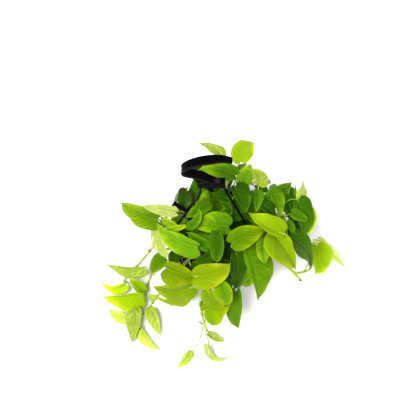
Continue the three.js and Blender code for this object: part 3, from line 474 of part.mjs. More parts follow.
// Hook: a flat band bent into an open C, its lower limb webbed to the junction block.
{
  const path = new THREE.CatmullRomCurve3(HOOK_PATH.map(([x, z]) => new THREE.Vector3(x, HOOK_Y, z)), false, 'catmullrom', 0.5);
  const steps = 26;
  const points = [], sides = [], normals = [], a = [], b = [];
  for (let k = 0; k <= steps; k++) {
    const t = k / steps;
    const T = path.getTangentAt(t);
    points.push(path.getPointAt(t));
    const S = new THREE.Vector3(0, 1, 0);
    sides.push(S);
    normals.push(new THREE.Vector3().crossVectors(T, S));
    const ease = Math.min(1, t / 0.2);
    a.push((HOOK_TIP_DEPTH + (HOOK_DEPTH - HOOK_TIP_DEPTH) * ease) / 2);
    b.push(HOOK_THICK / 2);
  }
  const positions = [], triangles = [];
  sweptBox(points, sides, normals, a, b, positions, triangles, true);
  const web = new THREE.Shape();
  web.moveTo(-40, 307);
  web.lineTo(-33, BLOCK.z[0] + 4);
  web.lineTo(-4, BLOCK.z[0] + 4);
  web.lineTo(-6, 283.5);
  web.lineTo(-21.5, 296.3);
  web.lineTo(-29.2, 302.3);
  web.closePath();
  const eye = new THREE.Path();
  for (let i = 0; i < 10; i++) {
    const q = rad(-36 * i);
    const p = [-27.3 + 2 * Math.cos(q), 290.5 + 2 * Math.sin(q)];
    if (i === 0) eye.moveTo(...p); else eye.lineTo(...p);
  }
  eye.closePath();
  web.holes.push(eye);
  const plate = new THREE.ExtrudeGeometry(web, { depth: 7, bevelEnabled: false });
  plate.rotateX(Math.PI / 2);
  plate.translate(0, HOOK_Y + 3.5, 0);
  const body = solid(geometryOf(positions, triangles)).add(solid(plate)).add(solid(boxGeometry(BLOCK.x, BLOCK.y, BLOCK.z)));
  add(holder, 'hook', geometryFrom(body), plasticMaterial());
}

// A flat strip along a path, its width level.
function strap({ width, thick, path }) {
  const curve = new THREE.CatmullRomCurve3(path.map(V), false, 'centripetal');
  const points = [], sides = [], normals = [], a = [], b = [];
  for (let k = 0; k <= 5; k++) {
    const T = curve.getTangentAt(k / 5);
    const S = new THREE.Vector3(0, 0, 1).cross(T).normalize();
    points.push(curve.getPointAt(k / 5)); sides.push(S);
    normals.push(new THREE.Vector3().crossVectors(T, S));
    a.push(width / 2); b.push(thick / 2);
  }
  const positions = [], triangles = [];
  sweptBox(points, sides, normals, a, b, positions, triangles, true);
  return geometryOf(positions, triangles);
}

// Arms: from the junction block down to clips over the pot's lip.
for (const [name, path] of Object.entries(ARM_PATHS)) {
  const pts = path.map(V);
  const foot = pts[pts.length - 1];
  const azimuth = Math.atan2(foot.y, foot.x);
  const out = new THREE.Vector3(Math.cos(azimuth), Math.sin(azimuth), 0);
  const end = out.clone().multiplyScalar(79.5).setZ(CLIP.top - 1);
  while (pts[pts.length - 1].z < CLIP.top + 6) pts.pop();
  pts.push(end);
  const curve = new THREE.CatmullRomCurve3(pts, false, 'centripetal');
  const steps = 18;
  const points = [], sides = [], normals = [], a = [], b = [];
  let S = new THREE.Vector3(-Math.sin(azimuth), Math.cos(azimuth), 0);
  for (let k = steps; k >= 0; k--) {
    const T = curve.getTangentAt(k / steps);
    S = S.clone().addScaledVector(T, -S.dot(T)).normalize();
    points.unshift(curve.getPointAt(k / steps)); sides.unshift(S);
    normals.unshift(new THREE.Vector3().crossVectors(T, S));
    a.unshift(ARM_W / 2); b.unshift(ARM_D / 2);
  }
  const positions = [], triangles = [];
  sweptBox(points, sides, normals, a, b, positions, triangles, true);
  const turn = (g) => { g.rotateZ(azimuth); return g; };
  const plate = turn(boxGeometry([CLIP.inner, CLIP.outer], [-CLIP.half, CLIP.half], [CLIP.top - CLIP.plate, CLIP.top]));
  const skirt = turn(boxGeometry([POT_LIP_R + GAP, CLIP.outer], [-CLIP.half, CLIP.half], [CLIP.low, CLIP.top]));
  let body = solid(geometryOf(positions, triangles)).add(solid(plate)).add(solid(skirt));
  const tail = ARM_TAILS[name];
  if (tail) body = body.add(solid(strap(tail)));
  add(holder, name, geometryFrom(body), plasticMaterial());
}

// Stems and vines, each with the small leaves that grow from it.
for (const [name, stem] of Object.entries(STEMS)) {
  const curve = stemCurve(stem);
  const steps = name.startsWith('vine') ? Math.round(curve.getLength() / 9) : 8;
  let body = solid(roundTube(curve, stem.radius, steps, 6));
  const shoot = SHOOTS[name];
  if (shoot) body = body.add(solid(roundTube(stemCurve(shoot), shoot.radius, 3, 6)));
  for (const leaf of STEM_LEAVES[name] ?? []) body = body.add(solid(leafGeometry(leaf)));
  add(plant, name, geometryFrom(body), stemMaterial());
}

// Leaves on their own stalks.
for (const [name, leaf] of Object.entries(FREE_LEAVES)) {
  const stem = STEMS[leaf.stem];
  const geometry = leafGeometry(leaf, { curve: stemCurve(stem), radius: stem.radius });
  add(plant, name, geometry, standard(leafColor[name.split('_')[1]], 0.42));
}

export default object;
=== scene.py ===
import math

import bmesh
import bpy
import numpy as np
from mathutils import Matrix, Vector


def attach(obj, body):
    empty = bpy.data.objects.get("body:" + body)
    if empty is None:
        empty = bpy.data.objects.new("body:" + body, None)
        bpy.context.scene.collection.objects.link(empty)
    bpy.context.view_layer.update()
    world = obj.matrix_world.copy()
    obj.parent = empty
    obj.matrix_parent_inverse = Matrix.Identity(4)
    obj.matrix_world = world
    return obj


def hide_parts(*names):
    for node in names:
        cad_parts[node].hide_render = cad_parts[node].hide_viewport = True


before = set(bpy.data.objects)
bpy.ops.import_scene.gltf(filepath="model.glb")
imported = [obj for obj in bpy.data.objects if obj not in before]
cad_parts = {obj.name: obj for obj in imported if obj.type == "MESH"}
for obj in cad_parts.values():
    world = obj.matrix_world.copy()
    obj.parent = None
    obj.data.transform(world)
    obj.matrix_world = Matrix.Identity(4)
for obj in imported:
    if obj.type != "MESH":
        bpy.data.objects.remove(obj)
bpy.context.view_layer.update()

MM = 0.001

# ---------------------------------------------------------------- dimensions, as in the frame (mm)
POT_BASE_R, POT_TOP_R, POT_LIP_R = 56.0, 77.0, 80.6
POT_LIP_Z, POT_HEIGHT, POT_WALL = 112.0, 122.0, 2.4
SOIL_TOP = 104.4
HOOK_Y, HOOK_DEPTH, HOOK_TIP_DEPTH, HOOK_THICK = 1.5, 12.0, 7.0, 4.6
BLOCK = ((-33.0, 4.0), (-4.6, 7.8), (278.4, 287.0))
FOLD, CAMBER, LOBE = 14.0, 0.25, 0.13

FREE_LEAVES = {
    "leaf_top_1": {"rib": [[1.7, 114.0, 165.0], [-7.6, 127.5, 163.5], [-23.2, 139.7, 155.1], [-35.3, 145.0, 148.0]], "side": [-0.687, -0.584, 0.432], "half": [15.2, 12.9], "stalk": [[7.4, 55.7, 147.8], [-6.5, 70.1, 161.2], [11.3, 104.7, 165.2]], "r": 1.09, "kind": "pale", "tone_and_shade": 0.35, "yellow": 0.5, "full": [0.7, 1.1]},
    "leaf_top_2": {"rib": [[30.2, 89.0, 186.0], [28.9, 112.3, 182.5], [40.3, 133.6, 169.0], [57.7, 141.5, 158.0]], "side": [-0.905, 0.41, -0.118], "half": [14.9, 20.0], "stalk": [[14.0, 76.0, 160.0], [18.1, 74.6, 167.3], [27.7, 83.0, 179.0]], "r": 1.19, "kind": "bright", "tone_and_shade": 0.4, "yellow": 0.5, "full": [0.68, 1.0]},
    "leaf_top_3": {"rib": [[18.9, 47.7, 219.9], [3.3, 55.8, 222.8], [-19.0, 60.7, 218.4], [-34.4, 60.1, 212.9]], "side": [-0.244, -0.954, 0.172], "half": [17.2, 15.9], "stalk": [[11.7, 69.2, 156.8], [14.4, 74.6, 183.8], [28.3, 40.9, 195.2]], "r": 1.11, "kind": "mid", "tone_and_shade": 0.55, "yellow": 0.7},
    "leaf_top_4": {"rib": [[28.3, 32.1, 212.7], [38.1, 48.3, 210.3], [45.3, 69.6, 198.9], [48.0, 83.4, 188.6]], "side": [-0.712, 0.504, 0.489], "half": [14.5, 10.5], "stalk": [[-16.0, -12.0, 168.0], [1.4, 10.7, 180.1], [17.5, 14.2, 201.4]], "r": 1.16, "kind": "lime", "tone_and_shade": 0.75, "yellow": 0.65, "lobe": 0.1},
    "leaf_top_5": {"rib": [[55.7, 36.3, 209.4], [60.0, 48.6, 208.6], [55.0, 61.2, 204.8], [44.3, 66.7, 202.4]], "side": [-0.921, -0.287, 0.263], "half": [11.0, 12.7], "stalk": [[62.9, 9.4, 137.7], [60.6, 15.4, 163.9], [50.9, 26.3, 197.6]], "r": 0.95, "kind": "pale", "tone_and_shade": 0.25, "yellow": 0.3},
    "leaf_left_1": {"rib": [[-96.0, -0.4, 169.6], [-119.1, 5.1, 164.7], [-142.9, 23.0, 153.5], [-155.8, 39.2, 145.7]], "side": [-0.118, -0.637, -0.762], "half": [19.7, 17.3], "stalk": [[-56.3, -61.7, 135.6], [-71.6, -74.1, 157.2], [-82.7, 6.6, 162.4]], "r": 1.25, "kind": "lime", "tone_and_shade": 0.2, "yellow": 0.75, "full": [0.75, 0.9]},
    "leaf_left_2": {"rib": [[-67.4, 2.2, 188.0], [-84.5, 3.4, 190.0], [-105.7, 10.5, 185.5], [-119.0, 17.0, 180.0]], "side": [-0.129, -0.779, -0.613], "half": [8.4, 9.8], "stalk": [[-50.9, 4.4, 134.7], [-51.1, 7.8, 154.5], [-48.2, 11.4, 182.8]], "r": 1.03, "kind": "cream", "tone_and_shade": 0.18, "yellow": 0.25},
    "leaf_left_3": {"rib": [[-91.6, -8.4, 155.6], [-99.2, -25.9, 143.6], [-89.0, -42.5, 134.3], [-68.9, -50.0, 135.7]], "side": [0.77, 0.121, 0.627], "half": [13.1, 13.1], "stalk": [[-50.9, 4.4, 134.7], [-70.5, 1.5, 127.8], [-76.6, 9.7, 154.5]], "r": 1.09, "kind": "cream", "tone_and_shade": 0.2, "yellow": 0.3},
    "leaf_left_4": {"rib": [[-36.4, -54.6, 196.0], [-60.7, -47.5, 189.5], [-84.9, -25.9, 178.3], [-97.4, -6.4, 172.0]], "side": [-0.117, -0.557, -0.822], "half": [21.8, 13.4], "stalk": [[-52.6, -57.3, 135.1], [-53.1, -65.0, 162.8], [-24.7, -59.2, 193.6]], "r": 1.3, "kind": "lime", "tone_and_shade": 0.45, "yellow": 0.7, "full": [0.9, 1.0]},
    "leaf_left_5": {"rib": [[-85.2, -47.0, 128.5], [-95.9, -51.2, 124.6], [-104.0, -58.9, 114.4], [-105.7, -66.3, 106.2]], "side": [0.662, -0.748, 0.041], "half": [12.3, 13.1], "stalk": [[-39.4, -39.8, 125.7], [-49.4, -39.5, 132.9], [-76.0, -43.7, 125.8]], "r": 0.97, "kind": "lime", "tone_and_shade": 0.15, "yellow": 0.65, "full": [0.8, 1.0]},
    "leaf_middle_1": {"rib": [[-47.5, -25.9, 202.6], [-35.8, -22.6, 208.1], [-29.5, -11.3, 209.4], [-32.6, 0.8, 207.6]], "side": [-0.863, 0.496, -0.094], "half": [5.3, 9.1], "stalk": [[-13.6, -5.2, 149.5], [-35.0, -6.6, 149.8], [-61.6, -34.7, 195.9]], "r": 0.95, "kind": "mid", "tone_and_shade": 0.45, "yellow": 0.7},
    "leaf_middle_2": {"rib": [[-21.8, -0.7, 196.0], [-16.6, 12.3, 200.6], [-15.9, 29.0, 197.1], [-21.2, 39.6, 190.0]], "side": [-0.934, -0.038, -0.354], "half": [18.7, 1.9], "stalk": [[-13.6, -5.2, 149.5], [-16.5, 8.3, 168.3], [-23.7, -9.0, 186.0]], "r": 1.0, "kind": "mid", "tone_and_shade": 0.5, "yellow": 0.7},
    "leaf_middle_3": {"rib": [[9.7, -25.6, 198.3], [-7.6, -23.2, 201.6], [-30.4, -21.0, 196.3], [-45.1, -21.0, 189.2]], "side": [-0.052, -0.981, -0.189], "half": [13.3, 20.6], "stalk": [[-15.3, -9.8, 162.3], [-12.3, -19.6, 173.6], [13.7, -37.4, 186.2]], "r": 1.12, "kind": "mid", "tone_and_shade": 0.45, "yellow": 0.75},
    "leaf_middle_4": {"rib": [[-6.0, -44.9, 210.0], [-4.9, -57.5, 201.8], [-5.0, -67.4, 185.2], [-7.4, -70.8, 172.0]], "side": [0.929, -0.321, 0.184], "half": [11.5, 11.8], "stalk": [[0.0, -80.1, 128.0], [-15.5, -96.9, 160.3], [2.1, -22.5, 208.4]], "r": 1.04, "kind": "mid", "tone_and_shade": 0.22, "yellow": 0.6, "lobe": 0.3},
    "leaf_middle_5": {"rib": [[15.4, -56.2, 214.0], [29.4, -46.7, 218.4], [49.0, -37.5, 213.6], [63.0, -35.1, 206.0]], "side": [-0.338, 0.886, 0.319], "half": [15.3, 17.0], "stalk": [[54.6, -39.6, 147.1], [49.6, -41.7, 172.3], [3.2, -66.2, 193.7]], "r": 1.1, "kind": "lime", "tone_and_shade": 0.2, "yellow": 0.65},
    "leaf_middle_6": {"rib": [[85.0, -39.4, 208.0], [68.3, -36.9, 216.0], [48.5, -24.8, 217.8], [38.4, -10.9, 216.0]], "side": [-0.524, -0.852, -0.023], "half": [8.6, 19.3], "stalk": [[69.8, 8.4, 144.2], [69.3, -15.9, 157.7], [110.6, -42.7, 199.1]], "r": 1.11, "kind": "bright", "tone_and_shade": 0.15, "yellow": 0.3},
    "leaf_middle_7": {"rib": [[15.1, 4.2, 177.1], [28.9, 4.1, 183.7], [49.0, 3.2, 184.6], [62.7, 2.2, 182.4]], "side": [0.047, 0.998, -0.05], "half": [15.7, 14.8], "stalk": [[-14.9, -8.2, 158.4], [-11.2, -6.0, 169.6], [2.7, 5.6, 169.1]], "r": 1.06, "kind": "deep_shade", "tone_and_shade": 0.5, "yellow": 0.45, "full": [1.15, 1.3]},
    "leaf_middle_8": {"rib": [[4.4, 17.1, 137.5], [-1.3, 28.2, 145.4], [-9.7, 45.5, 148.5], [-15.2, 57.7, 147.9]], "side": [-0.893, -0.447, 0.062], "half": [15.8, 15.7], "stalk": [[-10.5, -0.6, 132.9], [-7.9, 3.3, 140.4], [4.1, 13.5, 134.3]], "r": 1.05, "kind": "mid", "tone_and_shade": 0.85, "yellow": 0.55, "full": [1.0, 1.25]},
    "leaf_right_1": {"rib": [[74.4, -39.1, 204.0], [87.7, -53.1, 199.9], [101.0, -70.0, 185.0], [107.6, -80.8, 172.0]], "side": [0.75, 0.657, -0.076], "half": [12.6, 31.0], "stalk": [[58.3, -41.8, 150.6], [62.8, -38.2, 165.7], [62.7, -27.8, 193.1]], "r": 1.15, "kind": "gold", "tone_and_shade": 0.25, "yellow": 0.6},
    "leaf_right_2": {"rib": [[60.5, -44.0, 198.0], [58.5, -56.9, 192.8], [59.9, -67.4, 179.4], [65.0, -70.9, 168.0]], "side": [0.914, 0.36, -0.187], "half": [15.1, 12.7], "stalk": [[50.6, -37.1, 142.1], [53.7, -32.8, 156.7], [49.6, -19.2, 192.2]], "r": 1.03, "kind": "lime", "tone_and_shade": 0.45, "yellow": 0.65, "full": [1.25, 1.25]},
    "leaf_right_3": {"rib": [[104.3, -30.2, 168.9], [124.7, -32.4, 154.4], [137.7, -45.1, 129.7], [139.0, -61.3, 113.1]], "side": [0.408, 0.881, -0.237], "half": [17.5, 24.7], "stalk": [[88.0, 4.0, 156.0], [94.4, -6.3, 162.7], [95.6, -24.9, 170.5]], "r": 1.25, "kind": "mid", "tone_and_shade": 0.4, "yellow": 0.35, "full": [1.0, 0.85]},
    "leaf_right_4": {"rib": [[114.0, 18.1, 190.8], [122.6, 3.8, 183.8], [125.6, -14.1, 168.5], [123.3, -26.0, 157.1]], "side": [0.814, 0.451, -0.366], "half": [20.4, 15.7], "stalk": [[62.0, -44.0, 154.0], [69.8, -30.4, 184.0], [93.3, 36.0, 200.4]], "r": 1.12, "kind": "mid", "tone_and_shade": 0.35, "yellow": 0.35, "full": [0.9, 1.0]},
    "leaf_right_5": {"rib": [[66.3, 21.1, 191.0], [86.0, 28.9, 183.1], [103.9, 49.1, 171.3], [112.4, 66.8, 164.8]], "side": [-0.102, 0.57, 0.815], "half": [18.5, 18.5], "stalk": [[76.1, 7.1, 149.1], [75.5, 9.8, 169.5], [52.5, 19.6, 184.4]], "r": 1.22, "kind": "mid", "tone_and_shade": 0.95, "yellow": 0.55},
    "leaf_right_6": {"rib": [[73.2, 26.3, 206.0], [79.7, 15.1, 204.5], [84.2, 0.3, 196.8], [85.3, -9.5, 190.0]], "side": [0.81, 0.445, -0.383], "half": [14.6, 6.0], "stalk": [[82.1, 5.6, 152.6], [84.5, 7.2, 172.1], [69.6, 35.7, 199.2]], "r": 1.01, "kind": "mid", "tone_and_shade": 0.4, "yellow": 0.7, "full": [1.0, 1.25]},
    "leaf_right_7": {"rib": [[19.2, 19.8, 234.6], [25.0, 8.2, 231.8], [31.8, -4.2, 221.7], [36.4, -11.0, 212.8]], "side": [0.844, 0.53, -0.081], "half": [18.1, 8.7], "stalk": [[72.0, 8.0, 146.0], [72.8, 13.9, 179.8], [8.5, 44.3, 244.1]], "r": 1.01, "kind": "deep_shade", "tone_and_shade": 0.45, "yellow": 0.5},
    "leaf_right_8": {"rib": [[97.3, 26.4, 186.4], [102.9, 13.5, 184.2], [106.7, -2.2, 174.7], [108.0, -12.0, 166.3]], "side": [0.826, 0.425, -0.37], "half": [13.3, 15.2], "stalk": [[88.0, 4.0, 156.0], [93.9, 10.6, 171.2], [91.3, 35.9, 177.4]], "r": 1.03, "kind": "deep_shade", "tone_and_shade": 0.65, "yellow": 0.2, "full": [1.3, 1.1]},
    "leaf_front_1": {"rib": [[-80.0, -72.7, 153.4], [-64.6, -78.4, 151.3], [-45.7, -81.5, 141.0], [-33.9, -82.2, 131.5]], "side": [0.379, 0.81, 0.447], "half": [14.4, 20.8], "stalk": [[-44.0, -46.0, 130.0], [-53.2, -45.1, 141.1], [-89.7, -67.3, 143.4]], "r": 1.09, "kind": "gold", "tone_and_shade": 0.1, "yellow": 0.6},
    "leaf_front_2": {"rib": [[-35.9, -94.6, 184.1], [-16.8, -95.3, 184.9], [4.1, -85.2, 180.2], [14.7, -71.6, 176.4]], "side": [-0.343, 0.872, 0.348], "half": [16.5, 19.9], "stalk": [[0.0, -82.0, 127.3], [-0.2, -96.0, 146.4], [-49.4, -93.8, 174.1]], "r": 1.12, "kind": "bright", "tone_and_shade": 0.05, "yellow": 0.6},
    "leaf_front_3": {"rib": [[-44.0, -91.6, 121.6], [-64.1, -97.8, 110.3], [-90.0, -91.3, 95.5], [-107.5, -80.1, 88.4]], "side": [0.299, -0.566, -0.768], "half": [17.3, 20.0], "stalk": [[-48.6, -52.2, 133.2], [-44.4, -61.4, 135.7], [-37.0, -87.6, 124.8]], "r": 1.24, "kind": "gold", "tone_and_shade": 0.15, "yellow": 0.65, "full": [1.0, 0.75]},
    "leaf_front_4": {"rib": [[-53.4, -92.5, 104.0], [-58.3, -105.2, 75.5], [-79.9, -101.3, 59.1], [-106.0, -87.2, 66.0]], "side": [0.531, -0.329, -0.781], "half": [12.9, 20.7], "stalk": [[-60.0, -66.0, 136.0], [-62.1, -86.2, 139.2], [-44.4, -83.6, 120.6]], "r": 1.25, "kind": "bright", "tone_and_shade": 0.1, "yellow": 0.6, "lobe": 0.04, "full": [0.45, 0.95]},
    "leaf_front_5": {"rib": [[-18.9, -109.6, 159.5], [-15.6, -120.2, 146.3], [-3.0, -124.3, 130.8], [11.4, -122.4, 123.7]], "side": [0.781, 0.259, 0.569], "half": [10.9, 13.4], "stalk": [[0.0, -86.0, 126.0], [-3.5, -96.8, 140.5], [-20.8, -97.8, 161.7]], "r": 1.08, "kind": "gold", "tone_and_shade": 0.2, "yellow": 0.6},
    "leaf_front_6": {"rib": [[-24.0, -128.3, 126.8], [-9.9, -121.9, 128.3], [6.5, -116.7, 120.0], [16.4, -117.1, 109.6]], "side": [-0.028, 0.866, 0.499], "half": [10.7, 26.3], "stalk": [[0.0, -74.1, 129.8], [-13.5, -81.9, 146.8], [-47.6, -121.7, 119.1]], "r": 1.04, "kind": "gold", "tone_and_shade": 0.3, "yellow": 0.6},
    "leaf_front_7": {"rib": [[0.1, -102.4, 169.7], [6.9, -111.4, 162.7], [10.9, -119.4, 148.3], [10.2, -123.8, 136.9]], "side": [0.957, 0.261, 0.123], "half": [10.6, 16.2], "stalk": [[0.0, -67.8, 129.6], [-4.2, -75.3, 143.3], [-3.5, -91.5, 169.4]], "r": 1.0, "kind": "lime", "tone_and_shade": 0.35, "yellow": 0.65},
    "leaf_front_8": {"rib": [[23.1, -99.9, 124.6], [20.8, -119.0, 108.8], [24.2, -135.2, 80.4], [29.6, -142.6, 59.6]], "side": [0.954, -0.198, 0.226], "half": [10.6, 18.2], "stalk": [[60.8, -43.3, 152.8], [71.6, -70.2, 160.7], [31.1, -84.9, 136.2]], "r": 1.29, "kind": "lime", "tone_and_shade": 0.2, "yellow": 0.4, "full": [1.1, 1.15]},
    "leaf_front_9": {"rib": [[38.5, -54.8, 178.3], [49.8, -76.3, 166.0], [55.9, -99.6, 139.4], [55.7, -113.5, 118.8]], "side": [0.844, 0.484, -0.231], "half": [32.3, 9.9], "stalk": [[62.0, -44.0, 154.0], [56.8, -48.5, 169.1], [34.4, -46.4, 176.4]], "r": 1.3, "kind": "lime", "tone_and_shade": 0.35, "yellow": 0.4},
    "leaf_rear_1": {"rib": [[-12.0, 86.0, 142.0], [-16.6, 100.3, 127.7], [-20.4, 110.5, 102.5], [-22.0, 114.0, 84.0]], "side": [-0.96, -0.279, 0.031], "half": [19.0, 20.0], "stalk": [[11.7, 69.2, 156.8], [7.2, 81.3, 155.7], [-10.2, 79.2, 143.0]], "r": 1.19, "kind": "gold", "tone_and_shade": 0.5, "yellow": 0.5},
    "leaf_rear_2": {"rib": [[24.0, 92.0, 138.0], [28.8, 106.0, 124.3], [32.5, 116.3, 100.0], [34.0, 120.0, 82.0]], "side": [-0.948, 0.318, -0.01], "half": [19.0, 20.0], "stalk": [[9.4, 62.5, 153.3], [14.0, 73.9, 152.7], [22.3, 77.8, 141.7]], "r": 1.18, "kind": "mid", "tone_and_shade": 0.6, "yellow": 0.5},
    "leaf_rear_3": {"rib": [[84.0, 46.0, 148.0], [95.2, 57.8, 135.4], [103.2, 68.6, 111.8], [106.0, 74.0, 94.0]], "side": [-0.647, 0.752, 0.126], "half": [19.0, 18.0], "stalk": [[69.8, 8.4, 144.2], [77.2, 25.4, 149.5], [80.3, 37.7, 148.1]], "r": 1.19, "kind": "lime", "tone_and_shade": 0.5, "yellow": 0.5},
    "leaf_rear_4": {"rib": [[-63.0, 44.0, 145.0], [-72.6, 49.1, 129.3], [-77.1, 51.8, 104.5], [-77.0, 52.0, 87.0]], "side": [-0.451, -0.893, -0.014], "half": [14.0, 14.0], "stalk": [[-56.3, 2.6, 140.4], [-64.9, 12.3, 144.3], [-53.6, 40.8, 147.0]], "r": 1.15, "kind": "mid", "tone_and_shade": 0.6, "yellow": 0.6},
    "leaf_rear_5": {"rib": [[-86.0, -4.0, 138.0], [-97.7, -6.6, 121.3], [-103.6, -7.9, 94.8], [-104.0, -8.0, 76.0]], "side": [0.22, -0.975, -0.001], "half": [18.0, 17.0], "stalk": [[-61.1, 0.6, 144.6], [-71.3, 1.1, 141.9], [-78.3, -2.3, 139.7]], "r": 1.19, "kind": "gold", "tone_and_shade": 0.45, "yellow": 0.4},
    "leaf_rear_6": {"rib": [[90.0, 6.0, 142.0], [101.0, 2.9, 125.8], [106.0, 0.7, 100.1], [106.0, 0.0, 82.0]], "side": [0.217, 0.975, -0.04], "half": [17.0, 17.0], "stalk": [[62.9, 9.4, 137.7], [73.4, 9.7, 136.5], [80.5, 8.0, 142.7]], "r": 1.17, "kind": "mid", "tone_and_shade": 0.5, "yellow": 0.6},
    "leaf_rear_7": {"rib": [[60.0, 74.0, 150.0], [66.0, 87.9, 137.1], [69.4, 99.2, 113.5], [70.0, 104.0, 96.0]], "side": [-0.876, 0.472, 0.1], "half": [18.0, 18.0], "stalk": [[14.0, 76.0, 160.0], [28.3, 74.2, 157.1], [50.4, 66.3, 146.6]], "r": 1.17, "kind": "lime", "tone_and_shade": 0.5, "yellow": 0.55},
}
